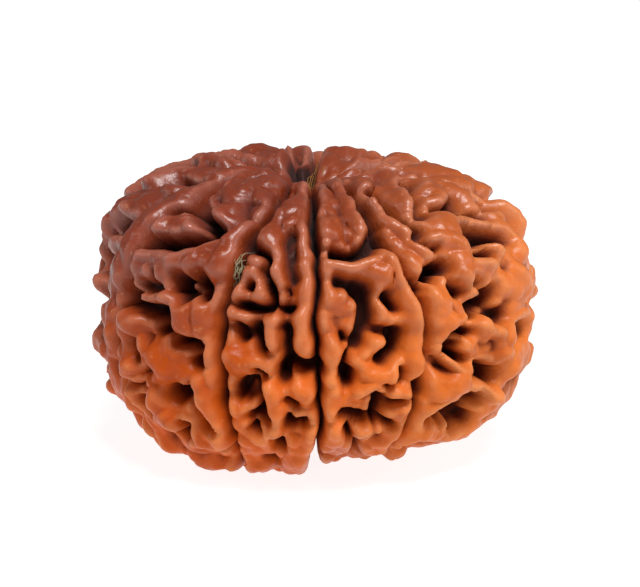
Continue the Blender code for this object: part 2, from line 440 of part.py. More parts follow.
def relief(dirs):
    # Height in metres above the plain body at each direction
    lat = np.degrees(np.arcsin(np.clip(dirs[:, 2], -1, 1)))
    lon = np.degrees(np.arctan2(dirs[:, 0], -dirs[:, 1]))
    wobble = np.stack([wave_field(dirs, 16.0, SEED + k) for k in range(3)], -1)
    fine = np.stack([wave_field(dirs, 6.5, SEED + 5 + k) for k in range(3)], -1)
    bent = dirs + 0.006 * wobble + 0.004 * fine
    bent /= np.linalg.norm(bent, axis=1)[:, None]

    seam = np.full(len(dirs), 1e9)
    near_seam = np.full(len(dirs), 1e9)     # the same in half widths of the line
    for course, half_width in zip(SEAMS, SEAM_HALF_WIDTHS):
        d, along = course_distance(bent, smooth_course(course))
        seam = np.minimum(seam, d)
        near_seam = np.minimum(near_seam, d / half_width)

    read = [CENTRE_LEFT_FACE, CENTRE_RIGHT_FACE, RIGHT_FACE, LEFT_FACE, FAR_LEFT_FACE, MOUTH_LOBES]
    faces = read + [
        carry_over(LEFT_FACE, 0, 4, True, -3.0, SEED + 1),
        carry_over(RIGHT_FACE, 3, 5, False, 2.0, SEED + 2),
        carry_over(LEFT_FACE, 0, 6, False, 3.0, SEED + 3),
        carry_over(RIGHT_FACE, 3, 7, True, -2.0, SEED + 4),
        carry_over(RIGHT_FACE, 3, 8, False, -4.0, SEED + 6, 274),
    ]
    crests = [s for face in faces for s in face["crests"]]
    cuts = [s for face in faces for s in face["cuts"]]
    for target in range(9):
        crests += polar_ribs(target, SEED + 20 + target)
    raised = stroke_field(bent, crests, crest_shape, 1.0, CREST_WIDEN)
    sunk = stroke_field(bent, cuts, cut_shape, 2.2, CUT_WIDEN)

    # Noise fills what the strokes leave plain
    cells = wave_field(bent, 12.5, SEED + 11) - 0.25 * wave_field(bent, 6.0, SEED + 12)
    back = soft_step(82, 96, np.abs(np.mod(lon + 180 + 8, 360) - 180))
    low = soft_step(-30, -40, lat)
    own = np.maximum(0.30, np.maximum(0.75 * back, low))
    calm = 1.0 - soft_step(0.25, 0.7, sunk) * 0.8
    away = soft_step(2.0, 5.0, seam)
    pits = soft_step(0.75, 1.7, -cells) * own * calm * away
    bumps = np.tanh(1.2 * cells)

    seam_cut = 0.88 * (1.0 - soft_step(0.40, 1.0, near_seam))
    seam_cut += 0.12 * (1.0 - soft_step(0.0, 2.4, near_seam))
    shallow = soft_step(34, 40, lat) * (1.0 - soft_step(9, 14, np.abs(lon + 17)))
    fade = (1.0 - 0.35 * soft_step(60, 78, np.abs(lat))) * (1.0 - 0.6 * shallow)
    scallop = soft_step(-0.9, 1.0, wave_field(bent, 9.0, SEED + 14))
    lip = np.exp(-((seam - 2.9) / 1.3) ** 2) * scallop

    height = CREST_GAIN * raised + LIP_HEIGHT * lip * (1.0 - 0.5 * soft_step(0.2, 0.5, raised))
    height = height + SKIN_NOISE * bumps * (0.45 + 0.55 * own)
    deepest = (CUT_GAIN * sunk) ** 4 + (PIT_DEPTH * pits) ** 4 + (SEAM_DEPTH * seam_cut * fade) ** 4
    height = height * (1.0 - 0.6 * soft_step(0.0004, 0.0014, deepest ** 0.25))
    return height - deepest ** 0.25


def lobe_swell(dirs):
    # The faces stand out between their lines
    lat = np.degrees(np.arcsin(np.clip(dirs[:, 2], -1, 1)))
    lon = np.degrees(np.arctan2(dirs[:, 0], -dirs[:, 1]))
    total = np.zeros(len(dirs))
    upper = soft_step(10, 45, lat)
    lower = soft_step(-10, -45, lat)
    for index, (middle, above, below) in enumerate(LOBES):
        left, right = seam_longitude(index, lat), seam_longitude(index + 1, lat)
        u = np.mod(lon - left, 360.0) / (right - left)
        inside = u < 1.0
        u = np.clip(u, 0.0, 1.0)
        round_top = 1.0 - np.abs(2.0 * u - 1.0) ** 9
        amount = middle * (1 - upper - lower) + above * upper + below * lower
        total += np.where(inside, amount * round_top ** 0.5, 0.0)
    return total


def bead_points(dirs):
    lat = np.degrees(np.arcsin(np.clip(dirs[:, 2], -1, 1)))
    flat = np.hypot(dirs[:, 0] / (WIDTH / 2), dirs[:, 1] / (DEPTH / 2))
    tall = np.abs(dirs[:, 2]) / np.where(dirs[:, 2] > 0, UPPER_HEIGHT, LOWER_HEIGHT)
    power = np.where(dirs[:, 2] > 0, UPPER_FULLNESS, LOWER_FULLNESS)
    radius = (flat ** power + tall ** power) ** (-1.0 / power)
    radius -= TOP_DIMPLE * np.exp(-((90 - lat) / 15.0) ** 2)
    radius -= BOTTOM_DIMPLE * np.exp(-((90 + lat) / 16.0) ** 2)
    radius += lobe_swell(dirs) + relief(dirs)
    points = dirs * radius[:, None]
    lean = np.clip((lat - 30) / 60, 0, 1) ** 2
    points[:, 0] += CHANNEL_MOUTH_SHIFT * lean
    return points


def point_normals(points, faces):
    a, b, c = (points[faces[:, k]] for k in range(3))
    across = np.cross(b - a, c - a)
    normals = np.zeros_like(points)
    for k in range(3):
        for axis in range(3):
            normals[:, axis] += np.bincount(faces[:, k], across[:, axis], len(points))
    return normals / np.linalg.norm(normals, axis=1)[:, None]


def even_out(points, edges, amount):
    # Each point moves part of the way to the middle of its neighbours
    total = np.zeros_like(points)
    count = np.bincount(edges.ravel(), minlength=len(points))
    for here, there in ((0, 1), (1, 0)):
        for axis in range(3):
            total[:, axis] += np.bincount(edges[:, here], points[edges[:, there], axis], len(points))
    return points + amount * (total / count[:, None] - points)


def fatten_ridges(points, faces, edges):
    # Ridges swell outwards from all sides and round off
    for step in range(SWELL_STEPS):
        points = points + point_normals(points, faces) * SWELL / SWELL_STEPS
        points = even_out(points, edges, EASE)
    return points


def clear_scene():
    for obj in list(bpy.data.objects):
        bpy.data.objects.remove(obj, do_unlink=True)


def seed_material():
    mat = bpy.data.materials.new("oiled seed wood")
    mat.use_nodes = True
    bsdf = mat.node_tree.nodes["Principled BSDF"]
    bsdf.inputs["Base Color"].default_value = (0.42, 0.11, 0.030, 1.0)
    bsdf.inputs["Roughness"].default_value = 0.42
    bsdf.inputs["Metallic"].default_value = 0.0
    return mat


def build_bead():
    bm = bmesh.new()
    bmesh.ops.create_icosphere(bm, subdivisions=7, radius=1.0)
    bm.verts.ensure_lookup_table()
    dirs = np.array([tuple(v.co.normalized()) for v in bm.verts])
    faces = np.array([[v.index for v in face.verts] for face in bm.faces])
    edges = np.array([[v.index for v in edge.verts] for edge in bm.edges])
    points = fatten_ridges(bead_points(dirs), faces, edges)
    points[:, 2] -= points[:, 2].min() + FLAT_SPOT
    for vert, point in zip(bm.verts, points):
        vert.co = point
    mesh = bpy.data.meshes.new("bead")
    bm.to_mesh(mesh)
    bm.free()
    bead = bpy.data.objects.new("bead", mesh)
    bpy.context.scene.collection.objects.link(bead)
    mesh.materials.append(seed_material())
    mesh.shade_smooth()

    thin = bead.modifiers.new("fewer faces", "DECIMATE")
    thin.ratio = TRIANGLES / len(mesh.polygons)
    cut_channel(bead, points[:, 2].max())
    wear_base(bead)
    centre_on_base(bead)
    return bead


def cut_away(bead, name, bm, location, rotation=(0, 0, 0)):
    mesh = bpy.data.meshes.new(name)
    bm.to_mesh(mesh)
    bm.free()
    cutter = bpy.data.objects.new(name, mesh)
    bpy.context.scene.collection.objects.link(cutter)
    cutter.location = location
    cutter.rotation_euler = rotation
    cutter.hide_render = True
    cutter.display_type = "WIRE"
    cut = bead.modifiers.new(name, "BOOLEAN")
    cut.operation = "DIFFERENCE"
    cut.solver = "EXACT"
    cut.object = cutter


def cut_channel(bead, height):
    # The channel runs through the core from mouth to mouth
    top = Vector((CHANNEL_MOUTH_SHIFT, 0, height + 0.002))
    bottom = Vector((0, 0, -0.002))
    axis = top - bottom
    bm = bmesh.new()
    bmesh.ops.create_cone(bm, cap_ends=True, cap_tris=False, segments=20,
                          radius1=CHANNEL_DIAMETER / 2, radius2=CHANNEL_DIAMETER / 2,
                          depth=axis.length)
    cut_away(bead, "channel", bm, (top + bottom) / 2, axis.to_track_quat("Z", "Y").to_euler())


def wear_base(bead):
    # The lobes are worn flat where the bead stands on them
    bm = bmesh.new()
    bmesh.ops.create_cube(bm, size=1.0)
    bmesh.ops.scale(bm, vec=(0.04, 0.04, 0.006), verts=bm.verts)
    cut_away(bead, "worn base", bm, (0, 0, -0.003))


def centre_on_base(bead):
    # The finished bead's box is centred over the origin
    bpy.context.view_layer.update()
    shaped = bead.evaluated_get(bpy.context.evaluated_depsgraph_get())
    corners = [Vector(corner) for corner in shaped.bound_box]
    middle = sum(corners, Vector()) / 8
    shift = Matrix.Translation((-middle.x, -middle.y, 0))
    bead.data.transform(shift)
    for modifier in bead.modifiers:
        if modifier.type == "BOOLEAN":
            modifier.object.location += shift.translation


clear_scene()
build_bead()
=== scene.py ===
import math
import random

import bpy
import numpy as np
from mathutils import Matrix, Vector


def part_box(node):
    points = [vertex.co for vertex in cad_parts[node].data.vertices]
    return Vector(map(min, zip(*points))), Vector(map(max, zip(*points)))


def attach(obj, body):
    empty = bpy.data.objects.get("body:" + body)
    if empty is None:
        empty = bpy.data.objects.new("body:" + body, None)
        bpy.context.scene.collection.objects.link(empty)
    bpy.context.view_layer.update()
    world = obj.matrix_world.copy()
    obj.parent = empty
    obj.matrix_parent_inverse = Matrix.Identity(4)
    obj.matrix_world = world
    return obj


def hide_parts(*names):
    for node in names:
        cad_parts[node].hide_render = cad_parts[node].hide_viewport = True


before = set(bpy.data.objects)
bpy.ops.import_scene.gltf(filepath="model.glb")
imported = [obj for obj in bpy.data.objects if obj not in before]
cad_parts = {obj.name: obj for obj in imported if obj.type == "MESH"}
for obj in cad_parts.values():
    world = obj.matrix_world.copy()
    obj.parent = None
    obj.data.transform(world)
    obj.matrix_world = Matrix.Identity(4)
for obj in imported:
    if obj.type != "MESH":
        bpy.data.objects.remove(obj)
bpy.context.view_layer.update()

# The stone's plain body before its faces swell and its relief grows, millimetres
stone = dict(
    width=26.3, depth=25.5,          # along X and Y
    upper=8.5, lower=8.6,            # equator to the top and to the underside
    upperFullness=3.3, lowerFullness=2.85,   # how square the shoulders are
    shoulders=(10, 45),              # latitudes between which each face's swell changes
    topDimple=1.7, topDimpleWidth=15.0,        # sunken poles round the channel's mouths,
    bottomDimple=1.4, bottomDimpleWidth=16.0,  # their widths in degrees
    mouthShift=-0.65, shiftFrom=30,  # the top mouth lies this far along X, from this latitude up
    craterDepth=2.6, craterRim=16.0,     # the channel's open top mouth, its rim in degrees
    craterFloor=0.4, craterSlim=1.7,     # its floor as a share of the rim, and how narrow it is along X
    craterBehind=0.62, craterShift=0.05,  # it runs on towards the back and lies a little to the left
    flatSpot=0.45,                   # worn away underneath
    cells=128,                       # grid squares along each side of the six patches
    frontPull=0.32,                  # the grid is finer towards this side:
    frontWay=(0.0, -0.97, 0.24),     # where the camera stands
    seed=9,
)

# The skin's relief, millimetres and degrees of arc
skin = dict(
    seamDepth=1.9,                   # the nine mukhi lines
    seamHalfWidths=(1.2, 1.6, 1.7, 1.3, 1.4, 1.5, 1.5, 1.5, 1.5),
    lip=0.20, lipPlace=2.9, lipWidth=1.3,  # rounded lip beside a line
    crestGain=0.85, crestWiden=0.6,  # how proud and wide the read crests stand
    crestSquare=3, crestEase=1.2,    # how steep their flanks are
    cutGain=1.35, cutWiden=0.5,      # how deep and wide the read cuts are
    sideCuts=1.3, middleCuts=0.85,   # the same, more on the side faces and less in the middle
    cutSpread=0.4,                   # how much of that goes into their width
    cutWall=(0.58, 1.10), cutBrim=2.0, cutReach=2.2,   # in half widths
    grooveWall=(0.40, 1.0), grooveBrim=2.4,            # the same for the lines
    wallShare=0.88, brimShare=0.12,  # of the depth
    merge=5,                         # how sharply strokes that meet stay apart
    wander=((0.006, 16.0), (0.004, 6.5)),  # the courses wander by this much, in waves of this size
    bumps=0.30, pits=1.4, cellSize=12.5, fineSize=6.0,   # noise where no stroke is read
    readMiddle=-8, readHalf=(82, 96),      # longitudes that the photograph shows
    dents=0.044, dentSizes=(4.2, 2.3),     # small unevenness of the whole skin
    swellSteps=5, swell=0.14, ease=0.24,   # how ridges fatten and round off
)

# How far the darkening of the hollows, dark residue with painted shade, and the painted highlight
# on the crests reach, millimetres. Each place is measured against its surroundings, which more rounds make
# wider.
hollowStainShadeAndCrestHighlight = dict(
    settle=0.6,
    hollowRounds=60, hollowFrom=0.16, hollowSpan=0.55,
    crownRounds=14, crownFrom=0.05, crownTo=0.40,
    carvedShare=0.4, craterShare=3.5,  # how much a carved hollow and the open mouth add
)

# The nine mukhi lines from the top to the underside, as longitude and latitude
# in degrees. Longitude 0 faces the camera and grows to the right.
seams = [
    [(-58, 78), (-60, 66), (-59, 60), (-56, 54), (-52, 47), (-50, 42), (-50.5, 38.5), (-52.8, 34.5),
     (-54.2, 30), (-55, 25.5), (-56.8, 21.5), (-58, 17), (-59, 12), (-61, 6), (-62.5, 0),
     (-63, -5), (-62.5, -10), (-60.5, -18),
     (-58.5, -28), (-57.5, -45), (-59.5, -65), (-61, -80)],
    [(-24, 75), (-18, 62), (-16, 50), (-16, 42), (-17.5, 35), (-19.5, 30), (-21, 24), (-22, 19.5),
     (-23, 16), (-24.1, 11), (-24.5, 6), (-24.7, 0), (-24.3, -5), (-24.4, -10), (-24.6, -15),
     (-24.2, -20), (-24.6, -26), (-27, -33), (-29, -45), (-28, -65), (-28, -80)],
    [(4, 75), (2, 62), (0.5, 52), (-0.5, 44), (-0.8, 36), (0.3, 30), (0, 22), (0.4, 12),
     (0.8, 0), (1.2, -10), (1.8, -20), (1.0, -29), (-0.4, -38), (-1, -50), (-1, -65), (-1, -80)],
    [(26, 75), (25, 66), (23, 58), (21, 51), (19.5, 45), (19, 39), (20.5, 34), (22, 29), (24, 23),
     (26, 19), (27.8, 15), (29, 9), (30, 2), (30, -3), (28.6, -8), (28.2, -12), (27.5, -20),
     (27, -30), (31, -45), (37, -65), (39, -80)],
    [(70, 78), (74, 66), (76, 55), (79, 45), (82, 35), (82, 22), (80, 8), (79, -5), (78, -18),
     (76, -32), (76, -50), (78, -68), (80, -80)],
    [(116, 78), (118, 60), (121, 45), (123, 28), (121, 10), (123, -8), (124, -26), (121, -48),
     (118, -66), (117, -80)],
    [(177, 78), (177, 60), (175, 44), (169, 26), (163, 8), (166, -10), (167, -30), (163, -50),
     (160, -66), (158, -80)],
    [(200, 78), (200, 60), (204, 44), (210, 24), (208, 6), (206, -12), (209, -30), (207, -50),
     (203, -66), (200, -80)],
    [(240, 78), (244, 62), (250, 44), (251, 26), (249, 8), (252, -10), (253, -28), (250, -48),
     (246, -66), (244, -80)],
]

# How far each face swells at its middle, above it and below it, millimetres.
# The first face lies right of the first line.
faceSwell = [
    (0.4, 0.7, 0.4), (0.3, 0.2, 0.2), (0.3, 0.1, -0.5),
    (0.5, 0.2, -0.3), (0.3, 0.2, -0.2), (0.5, 0.3, 0.0),
    (0.6, 0.7, 0.0), (0.5, 0.7, 0.0), (0.3, 0.5, 0.3),
]

# Relief of the faces that the photograph shows. A crest or cut is its height or
# depth in millimetres, its half width in degrees at both ends, and its course.
centreLeftFace = dict(
    crests=[
        (0.35, 1.6, 1.6, [(-20.5, 18), (-19.3, 20.6), (-16.8, 21.2), (-14.8, 19.5), (-14.8, 16.6),
                          (-17, 15), (-19.8, 15.6), (-20.5, 18)]),
        (0.40, 1.2, 0.9, [(-20.5, 11), (-18, 10.4), (-15.8, 10)]),
        (0.90, 2.3, 2.0, [(-11.2, 13.2), (-11, 9), (-11, 5)]),
        (0.60, 1.8, 2.2, [(-3, 24), (-2.3, 18), (-2.4, 11), (-2.7, 3.5)]),
        (0.45, 3.2, 3.0, [(-22, -1.5), (-17, -2.2), (-12.5, -2.0)]),
        (0.50, 1.8, 1.6, [(-6, -4.5), (-3.3, -6.5), (-0.8, -8.6)]),
        (0.40, 1.6, 1.6, [(-22.4, -13.4), (-20, -12.6), (-17.2, -12.8)]),
        (0.55, 2.0, 1.8, [(-11, -8), (-10.3, -12), (-10.2, -16), (-10.2, -20)]),
        (0.35, 1.4, 1.4, [(-19.3, -20), (-18, -22.4), (-15, -22.6), (-13.3, -20.4), (-14.4, -18.2),
                          (-17.6, -17.8), (-19.3, -20)]),
        (0.40, 1.4, 1.4, [(-3.6, -14), (0, -16.2)]),
        (0.35, 1.3, 1.3, [(-5, -19), (-2.6, -20.6), (-0.6, -21.2)]),
        (0.35, 1.4, 1.4, [(-9.8, -22.8), (-7, -23.4), (-4.4, -21.8)]),
        (0.50, 3.6, 2.6, [(-7, 56), (-6, 50), (-6.5, 44), (-8.5, 38)]),
        (0.45, 2.0, 1.6, [(-4, 50), (-3.6, 42), (-3.2, 35), (-2.2, 28), (-2.2, 23)]),
        (0.65, 2.3, 1.8, [(-14.5, 32), (-12, 29.5), (-10.5, 26), (-9, 22)]),
        (0.60, 1.5, 1.5, [(-17, 25.2), (-13.2, 23.6), (-10.4, 19.5), (-8.8, 16.5)]),
        (0.30, 1.8, 1.6, [(-14.8, 41), (-13.8, 35.5)]),
        (0.35, 2.0, 2.0, [(-20.5, -25), (-17.5, -31), (-17, -38)]),
    ],
    cuts=[
        (1.30, 1.3, 1.3, [(-17.8, 18.2), (-17.2, 17.6)]),
        (1.60, 1.7, 1.5, [(-13, 21.5), (-11.8, 18.5), (-11.6, 16.5), (-11.6, 14.8)]),
        (0.90, 1.0, 1.0, [(-7.3, 17.8), (-7.1, 17.0)]),
        (1.40, 1.6, 1.6, [(-8.2, 13.4), (-6.2, 13.1)]),
        (1.50, 1.5, 1.8, [(-19.5, 13.6), (-15, 13.2), (-12.6, 13)]),
        (1.70, 2.4, 2.0, [(-15.2, 8), (-14.4, 5.4), (-13.5, 3.2)]),
        (1.30, 2.0, 2.0, [(-19.6, 7.6), (-18.6, 4.6)]),
        (1.50, 1.8, 2.0, [(-7, 8.6), (-5.6, 6), (-6.6, 3), (-7, 0)]),
        (1.50, 2.2, 2.6, [(-7, -0.4), (-3, -1.4), (0.5, -2)]),
        (1.10, 1.2, 1.2, [(-14.8, -3.4), (-13, -4.4)]),
        (1.90, 2.0, 2.0, [(-7.8, -2), (-7.8, -4.6)]),
        (1.50, 1.8, 1.6, [(-19.8, -10), (-18.5, -7.3), (-16, -6.8), (-14.6, -9), (-13.6, -13),
                          (-14.5, -15.5)]),
        (1.10, 1.8, 1.8, [(-17.4, -10.4), (-17, -11)]),
        (1.40, 1.6, 1.6, [(-17, -16), (-12.6, -16.2)]),
        (1.40, 1.7, 1.7, [(-16.9, -20), (-16, -20)]),
        (1.20, 1.7, 1.7, [(-6.4, -16), (-6, -17.8)]),
        (1.20, 1.4, 1.4, [(-3, -15.8), (-3, -17.4)]),
        (1.50, 1.7, 1.7, [(-10.5, -22.4), (-11, -28)]),
        (1.10, 1.5, 1.4, [(-17, 28.6), (-14, 26.6), (-12.4, 24)]),
        (0.65, 2.2, 2.0, [(-7.5, 32), (-6.5, 27), (-5.8, 21)]),
        (0.90, 1.8, 1.6, [(-17, 49), (-16.5, 44)]),
        (1.00, 1.3, 1.3, [(-6.6, -10.4), (-4.4, -11.6)]),
        (1.90, 1.8, 1.5, [(2.5, 66), (0.8, 54), (-0.4, 44), (-0.8, 36), (0.2, 29)]),
        (3.00, 1.6, 2.4, [(0.8, -31), (-0.2, -38), (-0.8, -48), (-1, -60), (-1, -70), (-1, -76)]),
    ],
)
centreRightFace = dict(
    crests=[
        (0.35, 1.3, 1.1, [(2.8, 22), (3.2, 19), (4.2, 16.8)]),
        (0.40, 1.3, 1.3, [(4.2, 16.8), (6.2, 14.6), (8.2, 13.2), (9.6, 14), (10.6, 15)]),
        (0.40, 1.2, 1.2, [(7.8, 19.2), (7.4, 16.5)]),
        (0.50, 3.0, 3.2, [(4.6, 10.8), (9, 10.6)]),
        (0.50, 3.0, 3.0, [(17.5, 20.5), (18.5, 17)]),
        (0.60, 1.9, 2.0, [(21.6, 24.5), (23.8, 20), (25.4, 14), (26.4, 7), (26.8, 0), (25.8, -4)]),
        (0.50, 1.2, 1.2, [(13.2, 1.6), (16.2, 3.6), (19.4, 4.8)]),
        (0.50, 2.2, 2.2, [(4.6, 4.5), (4.6, 0), (3.6, -4)]),
        (0.50, 1.8, 1.8, [(11.4, -1.4), (13.8, -3.8), (18.6, -4.8), (21, -2.2)]),
        (0.50, 1.2, 1.2, [(11.4, -11), (12.4, -8.9), (14.6, -7.6), (17, -8.2), (19.4, -10.4)]),
        (0.45, 1.5, 1.5, [(9.8, -19.4), (12.6, -20.8), (16.4, -20.4), (18.4, -21)]),
        (0.45, 2.2, 2.2, [(4.4, -8), (4.6, -13)]),
        (0.40, 1.8, 1.8, [(5, -20), (5.6, -25)]),
        (0.45, 2.2, 2.2, [(23.5, -8), (23.6, -11)]),
        (0.40, 3.0, 3.0, [(4, 60), (4.2, 52), (4.5, 46)]),
        (0.65, 1.8, 2.2, [(19, 68), (15.5, 56), (14.5, 46), (14.8, 40), (16, 35.5), (16.8, 31.5),
                          (15.5, 30)]),
        (0.50, 3.0, 3.0, [(4.5, 41), (5.5, 34)]),
        (0.45, 1.5, 1.6, [(4.2, 25.6), (7.6, 24.6), (12, 24.2), (16, 25.4), (18.4, 26.2)]),
        (0.35, 1.7, 1.5, [(2.6, 29), (2.4, 24)]),
        (0.35, 1.8, 1.8, [(17, -32), (17.4, -38)]),
    ],
    cuts=[
        (1.10, 2.0, 1.8, [(5, 20.4), (9.4, 20)]),
        (1.70, 2.2, 2.5, [(10.2, 19.4), (13.4, 16), (13.9, 12), (12.4, 7.5), (11.4, 4.2)]),
        (1.10, 1.3, 1.3, [(7.5, 7.4), (7.5, 6.2)]),
        (1.30, 1.7, 1.7, [(19.2, 15.6), (20.8, 13)]),
        (1.00, 2.2, 2.0, [(15, 8.5), (19, 6.8)]),
        (1.70, 2.5, 2.3, [(21.6, 6.2), (20.6, 2.2), (18, -0.8)]),
        (1.30, 1.3, 1.3, [(8.4, 2), (7.8, -0.6)]),
        (1.70, 2.5, 2.5, [(8.5, -3.5), (8.6, -6)]),
        (1.10, 1.5, 1.5, [(22.3, -3.4), (22.4, -6)]),
        (1.10, 1.2, 1.2, [(13.2, -10.4), (15, -9.8), (16.6, -10.8)]),
        (0.80, 1.0, 1.0, [(18.2, -7.0), (19.4, -8.0)]),
        (1.60, 2.2, 1.8, [(18, -11.8), (17.6, -14), (17, -18)]),
        (0.90, 1.8, 1.8, [(21, -13), (24, -12.8)]),
        (1.40, 1.7, 2.0, [(7.5, -15.8), (10.5, -16.5), (13, -17)]),
        (1.30, 1.3, 1.3, [(8.8, -20), (9.5, -24)]),
        (1.10, 1.6, 1.6, [(14, -22.8), (19, -22.8)]),
        (1.00, 1.2, 1.2, [(19.6, -18.6), (23, -20.4)]),
        (1.60, 1.6, 2.0, [(13, -26), (14, -34), (15, -42)]),
        (1.40, 1.4, 2.4, [(4.6, 27.4), (8, 26.8), (12, 26.6), (15.6, 28.0), (19, 31)]),
        (1.40, 1.7, 1.6, [(27, 18.8), (28, 17)]),
        (1.60, 2.0, 1.9, [(28.2, -6), (28, -11)]),
        (1.50, 1.6, 2.0, [(24.5, 62), (22.3, 54), (20.3, 47), (19.2, 40), (20, 35)]),
    ],
)
rightFace = dict(
    crests=[
        (0.75, 2.2, 1.8, [(46, 63), (38, 60), (31.5, 55.5), (27.5, 50.5), (25.4, 45), (25, 40),
                          (26, 36.2), (28.6, 32), (31, 28), (32.4, 25)]),
        (0.65, 3.0, 2.8, [(78, 63), (66, 59.5), (56, 55), (48, 50), (42, 45), (38.5, 41), (36.5, 38.5)]),
        (0.55, 5.5, 5.0, [(60, 47), (68, 46.5), (75, 43.5)]),
        (0.60, 1.8, 1.8, [(41, 35), (44.6, 36), (49, 33.6), (54, 33.2)]),
        (0.50, 3.4, 3.4, [(37, 33), (42, 32), (46, 31)]),
        (0.65, 2.0, 1.6, [(31.6, 30.6), (35, 28.4), (40, 27.4), (44.5, 25.4), (49, 22.9), (54.5, 19.8)]),
        (0.55, 1.6, 2.0, [(52, 25.2), (57, 23.8), (61.5, 20.3), (65, 16.5), (68.5, 12), (73, 8)]),
        (0.20, 1.4, 1.4, [(60, 30.6), (66, 30), (71, 28)]),
        (0.50, 3.6, 4.6, [(48.5, 42), (56, 43.5)]),
        (0.50, 3.0, 3.0, [(74, 41), (73.5, 36), (73, 31), (73.5, 26), (72, 20)]),
        (0.50, 1.1, 1.1, [(35.4, 17.4), (38.0, 18.6), (39.8, 20.6)]),
        (0.65, 3.4, 4.4, [(32, 15), (36, 12.2), (38.5, 9)]),
        (0.40, 2.6, 2.2, [(31.5, 9), (33, 4.5)]),
        (0.55, 2.2, 2.2, [(42.5, 22), (44.0, 17), (44.6, 12.6)]),
        (0.40, 1.8, 1.8, [(47, 5), (51, 3), (57, 1.4)]),
        (0.50, 1.0, 1.0, [(35.6, 2.2), (38.4, 3.4), (41.6, 1.2)]),
        (0.65, 1.2, 1.2, [(33.4, 1.2), (36, -1), (38.6, -4), (42, -5.0)]),
        (0.45, 0.9, 0.9, [(42, -0.6), (43.2, -2.6), (44.4, -4.8)]),
        (0.60, 3.2, 4.0, [(33, -9), (38, -9), (40.5, -9)]),
        (0.45, 1.6, 1.6, [(32.4, -15.4), (34.5, -14.2), (39, -13.4), (42.6, -10.6)]),
        (0.50, 1.1, 1.1, [(40.3, -15.6), (40.8, -19), (40.8, -22)]),
        (0.55, 1.5, 1.5, [(42.6, -12.8), (46, -14.0), (51, -15.0), (57, -16.2)]),
        (0.45, 1.5, 1.5, [(45, -7), (48, -5.2), (53, -5.2), (59, -5.4)]),
        (0.40, 2.0, 2.0, [(60, -9.4), (66, -11.4)]),
        (0.45, 1.8, 1.8, [(60, -1), (64, 1.2), (69, 2.4), (75, 1.6)]),
        (0.40, 2.2, 2.2, [(46, -1), (53, -1.6)]),
        (0.35, 2.0, 2.0, [(34, -23.5), (39, -25)]),
        (0.45, 3.0, 3.0, [(46, -27), (56, -29), (66, -27)]),
    ],
    cuts=[
        (1.40, 2.2, 1.8, [(31.5, 51), (29.8, 45), (29.2, 40), (31, 35.5), (33.4, 31.5)]),
        (1.30, 2.0, 1.8, [(65, 53), (55, 50), (49, 46.5), (44, 42), (41, 37)]),
        (1.50, 2.0, 2.2, [(50, 36.6), (57, 37), (65, 38)]),
        (2.10, 2.6, 2.6, [(50.5, 28.4), (56, 27.2)]),
        (1.30, 2.6, 2.0, [(59, 27), (64, 25.6), (68.5, 23.4)]),
        (1.30, 1.4, 1.4, [(48.6, 24.2), (52, 22.9), (56.4, 21)]),
        (1.00, 2.0, 1.6, [(74, 33.6), (79, 32.4)]),
        (0.90, 2.0, 2.0, [(63, 33.8), (68, 31)]),
        (0.80, 1.0, 1.0, [(30.2, 30), (33.8, 25.6)]),
        (1.60, 1.8, 1.8, [(32, 20.4), (34.6, 21.4), (37.4, 20.8)]),
        (1.00, 1.6, 1.6, [(47.4, 16.6), (49.2, 15.2)]),
        (2.00, 2.5, 2.8, [(46, 9), (50.5, 10), (55.5, 11)]),
        (0.80, 3.0, 2.0, [(53, 7), (60, 4.5)]),
        (1.60, 1.5, 1.3, [(36.2, 1.2), (39, -0.6), (42.4, -3)]),
        (0.90, 1.0, 1.0, [(37.2, 2.6), (40.4, 1.2)]),
        (0.50, 1.6, 1.6, [(33.4, -2.4), (36, -5.6)]),
        (1.30, 2.3, 2.3, [(33.8, -18), (37.6, -17.4), (38.4, -19.6)]),
        (2.00, 2.6, 2.6, [(43, -15.8), (46, -17), (50, -17.2)]),
        (1.60, 2.2, 2.0, [(42.2, -18.6), (45, -20.6), (49, -21.4)]),
        (1.90, 1.8, 2.3, [(47.4, -7.4), (51, -9), (56, -11)]),
        (0.70, 2.8, 2.4, [(66, -1.2), (70, -1)]),
        (0.80, 2.0, 2.0, [(46, -24), (52, -24)]),
        (0.90, 1.8, 1.6, [(37.5, 16.0), (40, 15.2), (42, 14.2)]),
        (0.90, 1.4, 1.4, [(38.5, 4.8), (41, 4.8), (44, 3.6)]),
        (0.80, 0.9, 0.9, [(34.4, 26.6), (36, 26.2)]),
        (0.80, 2.0, 2.0, [(88, 66), (88, 58), (86, 53)]),
    ],
)
